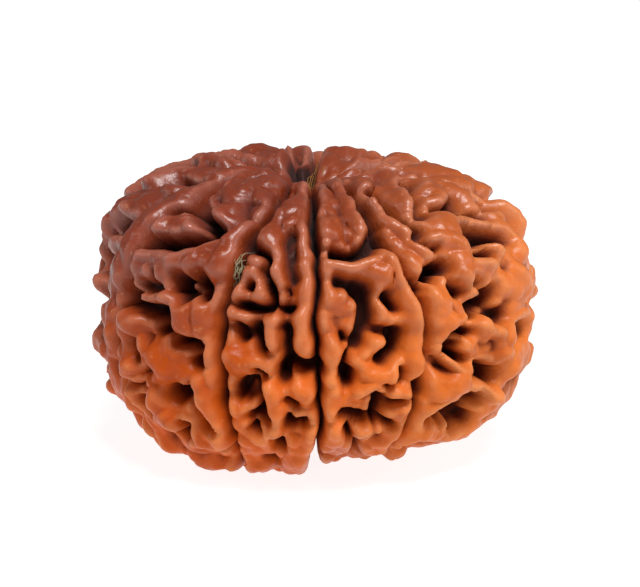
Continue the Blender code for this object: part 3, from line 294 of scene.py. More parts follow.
leftFace = dict(
    crests=[
        (0.55, 1.7, 1.8, [(-57, 21.5), (-50, 22.8), (-43, 24.2), (-36, 25.8), (-29, 27.4)]),
        (0.80, 2.0, 2.8, [(-50.5, 30.2), (-47, 31), (-44, 31.6)]),
        (0.80, 3.0, 1.4, [(-44, 31.6), (-39, 31), (-34.5, 29.8)]),
        (0.45, 7.0, 5.0, [(-38, 60), (-36, 51), (-33, 43), (-31, 37)]),
        (0.35, 2.2, 2.6, [(-29, 60), (-25, 50), (-21.5, 43), (-20.5, 39)]),
        (0.65, 1.5, 1.5, [(-50, 10.0), (-48, 11.6), (-44, 12.2), (-40, 11.8)]),
        (0.60, 3.2, 3.0, [(-36, 11), (-35.4, 6.6)]),
        (0.40, 2.2, 2.2, [(-30.0, 14), (-29.2, 6), (-28.6, 0)]),
        (0.50, 2.2, 1.8, [(-64, 4.6), (-59, 4.2), (-53, 3.6)]),
        (0.35, 1.5, 1.5, [(-64, 1), (-58, 1.6)]),
        (0.45, 2.6, 3.6, [(-51, -1), (-46, -3), (-42, -5)]),
        (0.45, 1.2, 1.2, [(-53, 0.4), (-51, -3.6), (-51.4, -6)]),
        (0.50, 1.5, 1.5, [(-61, -4.6), (-58.4, -7.4), (-54.6, -6.4)]),
        (0.50, 1.5, 1.5, [(-58.5, -9.6), (-53.6, -10.8), (-49.4, -10.4)]),
        (0.50, 2.4, 2.2, [(-46, -13.4), (-47.6, -17.4)]),
        (0.45, 1.3, 1.3, [(-51, -19.6), (-47.5, -20.0), (-43.4, -18.6)]),
        (0.55, 1.7, 1.7, [(-44.4, -20.9), (-41, -21.2), (-37.4, -19.6)]),
        (0.50, 1.5, 1.5, [(-36.6, -20.6), (-36, -24.4), (-33.4, -26.6), (-29.6, -27.2)]),
        (0.50, 1.8, 2.6, [(-31.0, -7.6), (-29.2, -12), (-28.8, -18), (-28, -23)]),
        (0.35, 2.0, 2.0, [(-57, -15), (-55, -20), (-50, -24)]),
        (0.35, 2.0, 2.0, [(-48, -23), (-43, -27), (-38, -30)]),
        (0.80, 6.0, 6.0, [(-62, -32), (-52, -38), (-40, -42), (-30, -44)]),
        (0.75, 2.2, 2.6, [(-21, 33.4), (-23.6, 29), (-26.5, 22)]),
        (0.40, 2.0, 2.0, [(-57, 18), (-48, 18.8), (-38, 21.4), (-30, 22.4)]),
    ],
    cuts=[
        (1.80, 1.4, 1.3, [(-54.5, 25.6), (-50, 26.0), (-45, 26.4), (-39, 27.0), (-34, 28.4), (-30, 31)]),
        (1.80, 2.2, 1.6, [(-48.5, 41), (-45, 38.3), (-40, 35.6), (-35.5, 33.6), (-30, 32.6)]),
        (2.00, 1.9, 2.1, [(-59, 64), (-57.5, 58), (-54.5, 52.5), (-51.5, 47.5), (-49.5, 43)]),
        (1.20, 1.0, 0.8, [(-49.5, 38.5), (-52.6, 34.6), (-54.2, 30), (-55, 26.5)]),
        (0.90, 1.0, 1.0, [(-47, 18.8), (-46.8, 16.2)]),
        (1.50, 1.9, 1.7, [(-38.8, 18.2), (-38.2, 15)]),
        (1.80, 1.6, 1.9, [(-33.4, 19), (-31, 18), (-29.4, 15.6)]),
        (0.80, 1.4, 1.4, [(-34.4, 15), (-36, 13)]),
        (2.10, 2.0, 2.4, [(-49, 8.0), (-45, 8.0), (-41.6, 7.6)]),
        (1.20, 2.2, 2.2, [(-57, 10), (-52, 8.6)]),
        (1.00, 2.0, 2.0, [(-41, 5), (-44, 3.8)]),
        (1.80, 1.6, 1.8, [(-37.6, 2.2), (-34, 2.1), (-31.6, 1.8)]),
        (1.60, 2.2, 2.2, [(-32, -3.0), (-31.4, -2.9)]),
        (1.00, 1.7, 1.7, [(-54.0, -0.8), (-53.0, -3.4)]),
        (1.00, 1.1, 1.1, [(-57.6, -11.8), (-55.6, -12.6)]),
        (1.30, 1.6, 1.6, [(-52, -12.5), (-50.6, -15.2), (-50, -17.6)]),
        (0.60, 1.6, 1.6, [(-52, 13.8), (-48, 14.4), (-44, 14.2)]),
        (2.00, 2.4, 2.1, [(-40.4, -12.8), (-37, -12.6)]),
        (1.40, 1.9, 1.7, [(-38.6, -21.6), (-39.6, -24.0)]),
        (1.40, 1.7, 1.5, [(-34, -10.6), (-33.0, -14), (-31.2, -18.6), (-29.4, -21)]),
        (0.70, 1.6, 1.6, [(-32.6, -29), (-29.6, -29)]),
        (0.80, 1.4, 1.4, [(-55, -17), (-52, -21)]),
        (0.80, 1.4, 1.4, [(-45, -24.5), (-42, -27)]),
    ],
)
farLeftFace = dict(
    crests=[
        (0.30, 3.6, 2.4, [(-74, 66), (-69, 60), (-63, 52), (-58, 44.5), (-57.5, 38), (-59.5, 32),
                          (-61, 25), (-63, 16), (-65, 6), (-66, -3)]),
        (0.40, 1.6, 1.6, [(-74, 41), (-68, 42)]),
        (0.80, 3.0, 3.0, [(-92, 8), (-82, 8)]),
        (0.90, 3.5, 3.0, [(-106, 52), (-98, 47), (-93, 39)]),
        (0.50, 2.5, 2.5, [(-86, -7), (-76, -8)]),
    ],
    cuts=[
        (1.80, 2.4, 1.6, [(-82, 25), (-73, 26.5), (-66, 28.4)]),
        (2.00, 2.6, 2.4, [(-86, 43.5), (-79, 45.5), (-71, 48.5)]),
        (1.80, 3.0, 2.6, [(-90, 15.5), (-74, 14.5)]),
        (1.00, 2.0, 1.8, [(-76, 7), (-72, 7.6)]),
        (1.10, 3.0, 2.4, [(-90, -1), (-76, -2)]),
    ],
)
mouthLobes = dict(
    crests=[
        (0.55, 4.5, 4.0, [(191, 72), (191, 62), (192, 54)]),
        (0.50, 6.0, 6.0, [(212, 72), (212, 62), (214, 55)]),
        (0.50, 7.0, 6.0, [(163, 70), (162, 62), (161, 54)]),
        (0.30, 7.0, 6.0, [(134, 66), (133, 56), (132, 48)]),
        (0.50, 4.5, 4.5, [(100, 74), (100, 66), (98, 58), (96, 50), (95, 44)]),
        (1.10, 5.0, 5.0, [(12, -62), (18, -66)]),
        (1.00, 6.0, 6.0, [(46, -63), (56, -66)]),
        (1.00, 6.0, 6.0, [(92, -62), (104, -65)]),
        (0.80, 5.0, 5.0, [(138, -64), (146, -66)]),
        (0.90, 5.0, 5.0, [(176, -66), (188, -64)]),
        (0.70, 5.0, 5.0, [(222, -64), (232, -64)]),
    ],
    cuts=[
        (1.60, 2.4, 2.4, [(177, 77), (177, 66), (177, 57), (176, 50)]),
    ],
)

# The faces behind carry the relief of a face in front: which one, its first line,
# their own first line, mirrored or not, degrees up, seed and the last longitude.
hiddenFaces = [
    (leftFace, 0, 4, True, -3.0, 1, 360),
    (rightFace, 3, 5, False, 2.0, 2, 360),
    (leftFace, 0, 6, False, 3.0, 3, 360),
    (rightFace, 3, 7, True, -2.0, 4, 360),
    (rightFace, 3, 8, False, -4.0, 6, 274),
]


def softStep(low, high, x):
    t = np.clip((x - low) / (high - low), 0.0, 1.0)
    return t * t * (3.0 - 2.0 * t)


def direction(lon, lat):
    lon, lat = np.radians(lon), np.radians(lat)
    return np.stack([np.cos(lat) * np.sin(lon), -np.cos(lat) * np.cos(lon), np.sin(lat)], -1)


def latitudeOf(dirs):
    return np.degrees(np.arcsin(np.clip(dirs[:, 2], -1, 1)))


def longitudeOf(dirs):
    return np.degrees(np.arctan2(dirs[:, 0], -dirs[:, 1]))


def smoothCourse(points, step=2.5):
    # a rounded curve through the points, with a knot every few degrees
    pts = [Vector(p) for p in points]
    pts = [2 * pts[0] - pts[1]] + pts + [2 * pts[-1] - pts[-2]]
    knots = []
    for a, b, c, d in zip(pts, pts[1:], pts[2:], pts[3:]):
        count = max(1, math.ceil((c - b).length / step))
        for k in range(count):
            t = k / count
            knots.append(0.5 * (2 * b + (c - a) * t + (2 * a - 5 * b + 4 * c - d) * t * t
                                + (3 * b - a - 3 * c + d) * t ** 3))
    knots.append(pts[-2])
    return np.array([tuple(p) for p in knots])


def courseDistance(dirs, course):
    # degrees from each direction to the course, and how far along it
    knots = direction(course[:, 0], course[:, 1])
    best = np.full(len(dirs), 1e9)
    along = np.zeros(len(dirs))
    for i in range(len(knots) - 1):
        start, run = knots[i], knots[i + 1] - knots[i]
        t = np.clip((dirs - start) @ run / max(run @ run, 1e-12), 0.0, 1.0)
        d = np.linalg.norm(dirs - start - t[:, None] * run, axis=1)
        near = d < best
        best[near] = d[near]
        along[near] = (i + t[near]) / (len(knots) - 1)
    return np.degrees(best), along


def nearCourse(dirs, course, reach):
    # the places that the course can reach
    knots = direction(course[:, 0], course[:, 1])
    middle = knots.mean(axis=0)
    middle /= np.linalg.norm(middle)
    spread = np.degrees(np.arccos(np.clip((knots @ middle).min(), -1, 1)))
    limit = math.cos(math.radians(min(179.0, spread + reach + 1.0)))
    return np.nonzero(dirs @ middle > limit)[0]


def crestShape(t):
    # a round back with steep flanks
    return np.clip(1.0 - t ** skin["crestSquare"], 0.0, 1.0) ** skin["crestEase"]


def sunkenShape(t, wall, brim):
    # a steep wall, a round floor and a wide rounded brim
    steep = skin["wallShare"] * (1.0 - softStep(*wall, t))
    return steep + skin["brimShare"] * (1.0 - softStep(0.0, brim, t))


def cutShape(t):
    return sunkenShape(t, skin["cutWall"], skin["cutBrim"])


def carvedField(dirs, strokes, shape, reach, widen):
    # what all strokes carve together, each as far as this many half widths
    total = np.zeros(len(dirs))
    for amount, startWidth, endWidth, points in strokes:
        course = smoothCourse(points)
        startWidth, endWidth = startWidth + widen, endWidth + widen
        idx = nearCourse(dirs, course, max(startWidth, endWidth) * reach)
        d, along = courseDistance(dirs[idx], course)
        width = startWidth + (endWidth - startWidth) * along
        total[idx] += (amount * shape(d / width)) ** skin["merge"]
    return total ** (1 / skin["merge"])


def waves(dirs, degrees, seed, count=28):
    # smooth random bumps of about this size, mean 0 and spread 1
    rng = np.random.default_rng(seed)
    ways = rng.normal(size=(count, 3))
    ways /= np.linalg.norm(ways, axis=1)[:, None]
    pace = 360.0 / degrees * rng.uniform(0.8, 1.25, count)
    phase = rng.uniform(0, 2 * math.pi, count)
    total = np.zeros(len(dirs))
    for way, rate, shift in zip(ways, pace, phase):
        total += np.cos(dirs @ way * rate + shift)
    return total / math.sqrt(count / 2.0)


def seamLongitude(index, lat):
    course = seams[index % len(seams)]
    lats = [p[1] for p in course][::-1]
    lons = [p[0] for p in course][::-1]
    return np.interp(lat, lats, lons) + 360.0 * (index // len(seams))


def carryOver(face, source, target, mirrored, lift, seed, limit):
    # the same kind of relief on a face behind, fitted between its own two lines
    rng = random.Random(seed)
    moved = dict(crests=[], cuts=[])
    for kind in ("crests", "cuts"):
        for amount, startWidth, endWidth, points in face[kind]:
            course = []
            for lon, lat in points:
                left, right = seamLongitude(source, lat), seamLongitude(source + 1, lat)
                u = (lon - left) / (right - left)
                u = 1.0 - u if mirrored else u
                lat = lat + lift + rng.uniform(-0.8, 0.8)
                left, right = seamLongitude(target, lat), seamLongitude(target + 1, lat)
                course.append((left + u * (right - left) + rng.uniform(-0.8, 0.8), lat))
            size = rng.uniform(0.8, 1.15)
            if course[0][0] < limit:
                moved[kind].append((amount * size, startWidth * size, endWidth * size, course))
    return moved


# Ribs that gather towards the underside, two on each face, in shares of its width,
# millimetres and degrees
ribs = dict(places=(0.25, 0.75), placeStray=0.05, stray=1.5, latitudes=(-78, -68, -58, -48),
            top=-38, topStray=5, heights=(0.3, 0.5), lowWidth=4.0, topWidths=(2.4, 3.4))


def polarRibs(target, seed):
    rng = random.Random(seed)
    strokes = []
    for place in ribs["places"]:
        u = place + rng.uniform(-ribs["placeStray"], ribs["placeStray"])
        course = []
        for lat in (*ribs["latitudes"], ribs["top"] + rng.uniform(-ribs["topStray"], ribs["topStray"])):
            left, right = seamLongitude(target, lat), seamLongitude(target + 1, lat)
            course.append((left + u * (right - left) + rng.uniform(-ribs["stray"], ribs["stray"]), lat))
        strokes.append((rng.uniform(*ribs["heights"]), ribs["lowWidth"],
                        rng.uniform(*ribs["topWidths"]), course))
    return strokes


def deepened(face, gain):
    # the same face with its cuts deeper and wider, or shallower and narrower
    wide = 1.0 + (gain - 1.0) * skin["cutSpread"]
    cuts = [(amount * gain, start * wide, end * wide, course)
            for amount, start, end, course in face["cuts"]]
    return dict(crests=face["crests"], cuts=cuts)


def wandering(dirs, seed):
    # the courses wander a little, in long waves and in short ones
    bent = dirs
    for step, (amount, size) in enumerate(skin["wander"]):
        bent = bent + amount * np.stack([waves(dirs, size, seed + 5 * step + k) for k in range(3)], -1)
    return bent / np.linalg.norm(bent, axis=1)[:, None]


def seamDistance(dirs):
    # degrees to the nearest line, and the least distance in half widths of a line
    seam = np.full(len(dirs), 1e9)
    nearSeam = np.full(len(dirs), 1e9)
    for course, halfWidth in zip(seams, skin["seamHalfWidths"]):
        away = courseDistance(dirs, smoothCourse(course))[0]
        seam = np.minimum(seam, away)
        nearSeam = np.minimum(nearSeam, away / halfWidth)
    return seam, nearSeam


def allStrokes(seed):
    # the crests and the cuts of all nine faces
    middle = [deepened(face, skin["middleCuts"]) for face in (centreLeftFace, centreRightFace)]
    sides = [deepened(face, skin["sideCuts"]) for face in (rightFace, leftFace, farLeftFace)]
    hidden = [carryOver(face, source, target, mirrored, lift, seed + extra, limit)
              for face, source, target, mirrored, lift, extra, limit in hiddenFaces]
    faces = [*middle, *sides, mouthLobes, *hidden]
    crests = [stroke for face in faces for stroke in face["crests"]]
    cuts = [stroke for face in faces for stroke in face["cuts"]]
    for target in range(len(seams)):
        crests += polarRibs(target, seed + 20 + target)
    return crests, cuts


def guessedRelief(dirs, lat, lon, sunk, seam, seed):
    # bumps and pits where no place is read, fullest on the back and underneath
    cells = waves(dirs, skin["cellSize"], seed + 11)
    cells -= 0.25 * waves(dirs, skin["fineSize"], seed + 12)
    aside = np.abs(np.mod(lon + (180 - skin["readMiddle"]), 360) - 180)
    back = softStep(*skin["readHalf"], aside)
    low = softStep(-30, -40, lat)
    share = np.maximum(0.30, np.maximum(0.75 * back, low))
    calm = 1.0 - softStep(0.25, 0.7, sunk) * 0.8
    pits = softStep(0.75, 1.7, -cells) * share * calm * softStep(2.0, 5.0, seam)
    return np.tanh(1.2 * cells), pits, share


def grooveDepth(nearSeam, lat, lon):
    # a line grows shallow towards both ends, and the one left of the middle fades
    # out near the top
    groove = sunkenShape(nearSeam, skin["grooveWall"], skin["grooveBrim"])
    fading = softStep(34, 40, lat) * (1.0 - softStep(9, 14, np.abs(lon + 17)))
    return groove * ((1.0 - 0.35 * softStep(60, 78, np.abs(lat))) * (1.0 - 0.6 * fading))


def openMouth(dirs):
    # depth of the channel's top mouth, with nothing of it on the lower half
    behind = dirs[:, 1] * np.where(dirs[:, 1] > 0, stone["craterBehind"], 1.0)
    across = stone["craterSlim"] * (dirs[:, 0] + stone["craterShift"])
    away = np.degrees(np.hypot(across, behind)) + 180.0 * (dirs[:, 2] < 0)
    rim = stone["craterRim"]
    return stone["craterDepth"] * (1.0 - softStep(stone["craterFloor"] * rim, rim, away))


def skinRelief(dirs):
    # height of the skin above the plain body, and how deep each place is carved
    seed = stone["seed"]
    lat, lon = latitudeOf(dirs), longitudeOf(dirs)
    bent = wandering(dirs, seed)
    seam, nearSeam = seamDistance(bent)
    crests, cuts = allStrokes(seed)
    raised = carvedField(bent, crests, crestShape, 1.0, skin["crestWiden"])
    sunk = skin["cutGain"] * carvedField(bent, cuts, cutShape, skin["cutReach"], skin["cutWiden"])
    bumps, pits, share = guessedRelief(bent, lat, lon, sunk, seam, seed)
    scallop = softStep(-0.9, 1.0, waves(bent, 9.0, seed + 14))
    lip = np.exp(-((seam - skin["lipPlace"]) / skin["lipWidth"]) ** 2) * scallop
    large, small = skin["dentSizes"]

    height = skin["crestGain"] * raised + skin["lip"] * lip * (1 - 0.5 * softStep(0.2, 0.5, raised))
    height += skin["bumps"] * bumps * (0.45 + 0.55 * share)
    height += skin["dents"] * (waves(dirs, large, seed + 15) + 0.6 * waves(dirs, small, seed + 16))
    groove = skin["seamDepth"] * grooveDepth(nearSeam, lat, lon)
    hollow = (sunk ** 4 + (skin["pits"] * pits) ** 4 + groove ** 4) ** 0.25
    height *= 1.0 - 0.6 * softStep(0.4, 1.4, hollow)
    mouth = openMouth(dirs)
    return height - hollow - mouth, hollow + hollowStainShadeAndCrestHighlight["craterShare"] * mouth


def faceBulge(dirs):
    # each face stands out between its two lines
    lat, lon = latitudeOf(dirs), longitudeOf(dirs)
    start, end = stone["shoulders"]
    upper, lower = softStep(start, end, lat), softStep(-start, -end, lat)
    total = np.zeros(len(dirs))
    for index, (middle, above, below) in enumerate(faceSwell):
        left, right = seamLongitude(index, lat), seamLongitude(index + 1, lat)
        u = np.mod(lon - left, 360.0) / (right - left)
        dome = 1.0 - np.abs(2.0 * np.clip(u, 0.0, 1.0) - 1.0) ** 9
        amount = middle * (1 - upper - lower) + above * upper + below * lower
        total += np.where(u < 1.0, amount * dome ** 0.5, 0.0)
    return total


def stonePoints(dirs):
    # the plain body with its dimples, its faces and its skin
    lat = latitudeOf(dirs)
    flat = np.hypot(dirs[:, 0] / (stone["width"] / 2), dirs[:, 1] / (stone["depth"] / 2))
    up = dirs[:, 2] > 0
    tall = np.abs(dirs[:, 2]) / np.where(up, stone["upper"], stone["lower"])
    power = np.where(up, stone["upperFullness"], stone["lowerFullness"])
    radius = (flat ** power + tall ** power) ** (-1.0 / power)
    radius -= stone["topDimple"] * np.exp(-((90 - lat) / stone["topDimpleWidth"]) ** 2)
    radius -= stone["bottomDimple"] * np.exp(-((90 + lat) / stone["bottomDimpleWidth"]) ** 2)
    relief, hollow = skinRelief(dirs)
    radius += faceBulge(dirs) + relief
    points = dirs * radius[:, None]
    start = stone["shiftFrom"]
    points[:, 0] += stone["mouthShift"] * np.clip((lat - start) / (90 - start), 0, 1) ** 2
    return points, hollow


def roundGrid(cells, pull):
    # six square patches pushed out to a ball, then drawn together towards the front
    steps = np.tan(np.linspace(-1, 1, cells + 1) * math.pi / 4)
    a, b = np.meshgrid(steps, steps, indexing="ij")
    one = np.ones_like(a)
    patches = [(one, a, b), (-one, b, a), (b, one, a), (a, -one, b), (a, b, one), (b, a, -one)]
    corners = np.concatenate([np.stack(p, -1).reshape(-1, 3) for p in patches])
    corners /= np.linalg.norm(corners, axis=1)[:, None]
    base = np.arange((cells + 1) ** 2).reshape(cells + 1, cells + 1)
    quad = np.stack([base[:-1, :-1], base[1:, :-1], base[1:, 1:], base[:-1, 1:]], -1).reshape(-1, 4)
    quads = np.concatenate([quad + k * (cells + 1) ** 2 for k in range(6)])
    dirs, inverse = np.unique(np.round(corners, 7), axis=0, return_inverse=True)
    dirs = dirs + pull * np.array(stone["frontWay"])
    dirs /= np.linalg.norm(dirs, axis=1)[:, None]
    return dirs, inverse.reshape(-1)[quads]


def pointNormals(points, quads):
    a, b, c, d = (points[quads[:, k]] for k in range(4))
    across = np.cross(c - a, d - b)
    normals = np.zeros_like(points)
    for k in range(4):
        for axis in range(3):
            normals[:, axis] += np.bincount(quads[:, k], across[:, axis], len(points))
    return normals / np.linalg.norm(normals, axis=1)[:, None]


def evenOut(points, quads, amount):
    # each point moves part of the way to the middle of its neighbours
    total = np.zeros_like(points)
    count = np.zeros(len(points))
    for k in range(4):
        for other in ((k + 1) % 4, (k + 3) % 4):
            count += np.bincount(quads[:, k], minlength=len(points))
            for axis in range(3):
                total[:, axis] += np.bincount(quads[:, k], points[quads[:, other], axis], len(points))
    return points + amount * (total / count[:, None] - points)


def fattenRidges(points, quads):
    # ridges swell outwards from all sides and their brims lean over the pits
    for _ in range(skin["swellSteps"]):
        points = points + pointNormals(points, quads) * skin["swell"] / skin["swellSteps"]
        points = evenOut(points, quads, skin["ease"])
    return points


def standOut(points, quads, rounds):
    # how far each place stands out of its surroundings, millimetres
    level = points
    for _ in range(rounds):
        level = evenOut(level, quads, hollowStainShadeAndCrestHighlight["settle"])
    return ((points - level) * pointNormals(points, quads)).sum(axis=1)


def meshObject(name, points, faces, material):
    mesh = bpy.data.meshes.new(name)
    mesh.from_pydata([tuple(p) for p in points], [], [tuple(f) for f in faces])
    mesh.materials.append(material)
    mesh.shade_smooth()
    piece = bpy.data.objects.new(name, mesh)
    bpy.context.scene.collection.objects.link(piece)
    return piece


def toLinear(hexColour):
    parts = [int(hexColour[i:i + 2], 16) / 255 for i in (1, 3, 5)]
    return tuple(c / 12.92 if c <= 0.04045 else ((c + 0.055) / 1.055) ** 2.4 for c in parts) + (1.0,)


def addNode(tree, kind, links=None, values=None, **settings):
    node = tree.nodes.new(kind)
    for name, value in settings.items():
        setattr(node, name, value)
    for name, value in (values or {}).items():
        node.inputs[name].default_value = value
    for name, socket in (links or {}).items():
        tree.links.new(socket, node.inputs[name])
    return node


def stainAndShadeLayer(tree, colour, source, hexColour, reach):
    # one more colour over the others, from this value of the source to that: real blotches and grain, and
    # the dark residue with painted shade of the hollows
    start, end, most = reach
    amount = addNode(tree, "ShaderNodeMapRange", {"Value": source},
                     {"From Min": start, "From Max": end, "To Max": most}).outputs["Result"]
    return addNode(tree, "ShaderNodeMix", {0: amount, 6: colour}, {7: toLinear(hexColour)},
                   data_type="RGBA").outputs[2]


def newMaterial(name):
    material = bpy.data.materials.new(name)
    material.use_nodes = True
    tree = material.node_tree
    return material, tree, tree.nodes["Principled BSDF"]


stoneFinish = dict(
    shaded="#c2500e", litSide="#cb6a2a",     # orange, a little lighter towards the right, partly its own tone and partly painted light
    litSideFrom=-8, litSideTo=12,              # along X, millimetres
    topTone="#742c14",                     # red-brown towards the top
    topToneFrom=8.5, topToneTo=18.5,       # height, millimetres
    topToneTilt=-0.42,                     # it starts lower on the left
    crest="#e8a068", topCrestHighlight="#cf8672", crestHighlightShare=0.30,   # painted highlight, paler on the crests and pinker towards the top
    pit="#5c1d0a", pitReach=(0.10, 0.62, 0.95),                 # darker in the hollows, dark residue and painted shade:
    deep="#1c0905", deepReach=(0.6, 1.0, 0.85),                 # from, to and how much
    mottle="#8a3008", mottleReach=(0.45, 0.75, 0.55), mottleSize=3.0,   # blotches of this size
    pale="#e2a878", paleReach=(0.62, 0.78, 0.25), grainSize=0.35,       # short pale grain
    bump=0.5, bumpDepth=0.1,               # the grain is felt this deep, millimetres
    ior=1.5, roughness=0.35, dullReach=(0.1, 0.6),              # the hollows are dull
    lowSpecular=0.12, highSpecular=0.5, shinyFrom=9, shinyTo=17,   # the top is shinier, by height
    coat=0.03, coatRoughness=0.2,
)


def oiledStoneWood():
    # The woody stone of a fruit, cleaned, oiled and rubbed by hand: a satin skin, shinier towards the top,
    # with a painted highlight on the crests, lighter towards the right partly as painted light, and dull
    # hollows darkened by residue and painted shade.
    material, tree, shader = newMaterial("oiled fruit stone")
    look = stoneFinish
    place = addNode(tree, "ShaderNodeTexCoord").outputs["Object"]
    hollow = addNode(tree, "ShaderNodeAttribute", attribute_name="hollow").outputs["Fac"]
    crown = addNode(tree, "ShaderNodeAttribute", attribute_name="crown").outputs["Fac"]
    mottle = addNode(tree, "ShaderNodeTexNoise", {"Vector": place},
                     {"Scale": 1000 / look["mottleSize"], "Detail": 4.0, "Roughness": 0.6}).outputs["Fac"]
    grain = addNode(tree, "ShaderNodeTexNoise", {"Vector": place},
                    {"Scale": 1000 / look["grainSize"], "Detail": 3.0, "Roughness": 0.6}).outputs["Fac"]
    spot = addNode(tree, "ShaderNodeSeparateXYZ", {"Vector": place}).outputs
    # painted light in part: lighter towards the right, partly the stone's own tone
    side = addNode(tree, "ShaderNodeMapRange", {"Value": spot["X"]},
                   {"From Min": look["litSideFrom"] / 1000,
                    "From Max": look["litSideTo"] / 1000}).outputs["Result"]
    sideLitTone = addNode(tree, "ShaderNodeMix", {0: side},
                   {6: toLinear(look["shaded"]), 7: toLinear(look["litSide"])},
                   data_type="RGBA").outputs[2]
    tilt = addNode(tree, "ShaderNodeMath", {0: spot["X"], 2: spot["Z"]}, {1: look["topToneTilt"]},
                   operation="MULTIPLY_ADD").outputs[0]
    rise = addNode(tree, "ShaderNodeMapRange", {"Value": tilt},
                   {"From Min": look["topToneFrom"] / 1000,
                    "From Max": look["topToneTo"] / 1000}).outputs["Result"]
    bodyColour = addNode(tree, "ShaderNodeMix", {0: rise, 6: sideLitTone}, {7: toLinear(look["topTone"])},
                         data_type="RGBA").outputs[2]
    mottled = stainAndShadeLayer(tree, bodyColour, mottle, look["mottle"], look["mottleReach"])
    # painted highlight: paler where the crests stand out, pinker towards the top
    crestAmount = addNode(tree, "ShaderNodeMath", {0: crown}, {1: look["crestHighlightShare"]},
                          operation="MULTIPLY").outputs[0]
    crestHighlightColour = addNode(tree, "ShaderNodeMix", {0: rise},
                     {6: toLinear(look["crest"]), 7: toLinear(look["topCrestHighlight"])},
                     data_type="RGBA").outputs[2]
    crested = addNode(tree, "ShaderNodeMix", {0: crestAmount, 6: mottled, 7: crestHighlightColour},
                      data_type="RGBA").outputs[2]
    specked = stainAndShadeLayer(tree, crested, grain, look["pale"], look["paleReach"])
    # dark residue and painted shade in the hollows and the channel's mouth, darkest where deepest
    sunken = stainAndShadeLayer(tree, specked, hollow, look["pit"], look["pitReach"])
    colour = stainAndShadeLayer(tree, sunken, hollow, look["deep"], look["deepReach"])
    tree.links.new(colour, shader.inputs["Base Color"])
    start, end = look["dullReach"]
    dullness = addNode(tree, "ShaderNodeMapRange", {"Value": hollow},
                       {"From Min": start, "From Max": end, "To Min": look["roughness"],
                        "To Max": 1.0}).outputs["Result"]
    tree.links.new(dullness, shader.inputs["Roughness"])
    bump = addNode(tree, "ShaderNodeBump", {"Height": grain},
                   {"Strength": look["bump"], "Distance": look["bumpDepth"] / 1000})
    tree.links.new(bump.outputs["Normal"], shader.inputs["Normal"])
    shader.inputs["IOR"].default_value = look["ior"]
    shine = addNode(tree, "ShaderNodeMapRange", {"Value": spot["Z"]},
                    {"From Min": look["shinyFrom"] / 1000, "From Max": look["shinyTo"] / 1000,
                     "To Min": look["lowSpecular"], "To Max": look["highSpecular"]}).outputs["Result"]
    tree.links.new(shine, shader.inputs["Specular IOR Level"])
    shader.inputs["Coat Weight"].default_value = look["coat"]
    shader.inputs["Coat Roughness"].default_value = look["coatRoughness"]
    return material


def growStone(material):
    dirs, quads = roundGrid(stone["cells"], stone["frontPull"])
    points, carved = stonePoints(dirs)
    points = fattenRidges(points, quads)
    # hollow carries dark residue with painted shade, crown the painted highlight on the crests
    sunken = (hollowStainShadeAndCrestHighlight["hollowFrom"] - standOut(points, quads, hollowStainShadeAndCrestHighlight["hollowRounds"])) / hollowStainShadeAndCrestHighlight["hollowSpan"]
    hollow = np.clip(hollowStainShadeAndCrestHighlight["carvedShare"] * carved + sunken, 0, 1)
    crown = softStep(hollowStainShadeAndCrestHighlight["crownFrom"], hollowStainShadeAndCrestHighlight["crownTo"], standOut(points, quads, hollowStainShadeAndCrestHighlight["crownRounds"]))
    lift = -points[:, 2].min() - stone["flatSpot"]
    points[:, 2] = np.maximum(points[:, 2] + lift, 0.0)
    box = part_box("bead")
    middle = (points[:, :2].min(axis=0) + points[:, :2].max(axis=0)) / 2
    target = np.array([(box[0][0] + box[1][0]) / 2, (box[0][1] + box[1][1]) / 2])
    points *= 0.001                                         # millimetres to metres
    shift = target - middle * 0.001
    points[:, :2] += shift
    heart = Vector((shift[0], shift[1], lift * 0.001))      # the body's own middle
    piece = meshObject("stone", points, quads, material)
    for name, values in (("hollow", hollow), ("crown", crown)):
        layer = piece.data.attributes.new(name, "FLOAT", "POINT")
        layer.data.foreach_set("value", values.astype(np.float32))
    return piece, heart, (dirs, points)


# Strands left in the hollows: places in degrees, sizes in millimetres
grooveFibres = dict(count=44, seed=3, starts=[(-20.2, 28.6), (-20.9, 26.4), (-21.5, 24.4)],
                    stops=[(-22.9, 18.2), (-22.3, 20.4), (-21.7, 22.4)],
                    stray=0.6, lift=0.24, bend=0.18, radius=0.028)
mouthFibres = dict(count=44, seed=5, starts=[(169, 70), (175, 70), (180, 72)],
                   stops=[(174, 80), (158, 82), (186, 79)],
                   stray=2.0, lift=0.3, bend=0.45, radius=0.045)
fibreLook = dict(dry="#a49a78", golden="#8e5c26", roughness=0.75, specular=0.3, knots=9, sides=5)


def fibreFinish(name, colour):
    # Dry plant fibre left over from the pulp: dull, with hardly any shine.
    material, _, shader = newMaterial(name)
    shader.inputs["Base Color"].default_value = toLinear(colour)
    shader.inputs["Roughness"].default_value = fibreLook["roughness"]
    shader.inputs["Specular IOR Level"].default_value = fibreLook["specular"]
    return material


def strand(course, radius, sides):
    # a thin round strand along a course of points, thinner towards both ends
    runs = np.gradient(course, axis=0)
    runs /= np.linalg.norm(runs, axis=1)[:, None]
    side = np.cross(runs, (0.31, 0.52, 0.79))
    side /= np.linalg.norm(side, axis=1)[:, None]
    over = np.cross(runs, side)
    points, faces = [], []
    for i in range(len(course)):
        r = radius * (0.35 + 0.65 * math.sin(math.pi * i / (len(course) - 1)))
        for k in range(sides):
            a = 2 * math.pi * k / sides
            points.append(course[i] + r * (math.cos(a) * side[i] + math.sin(a) * over[i]))
    for i in range(len(course) - 1):
        for k in range(sides):
            a, b = i * sides + k, i * sides + (k + 1) % sides
            faces.append((a, b, b + sides, a + sides))
    faces.append(tuple(range(sides))[::-1])
    faces.append(tuple((len(course) - 1) * sides + k for k in range(sides)))
    return points, faces


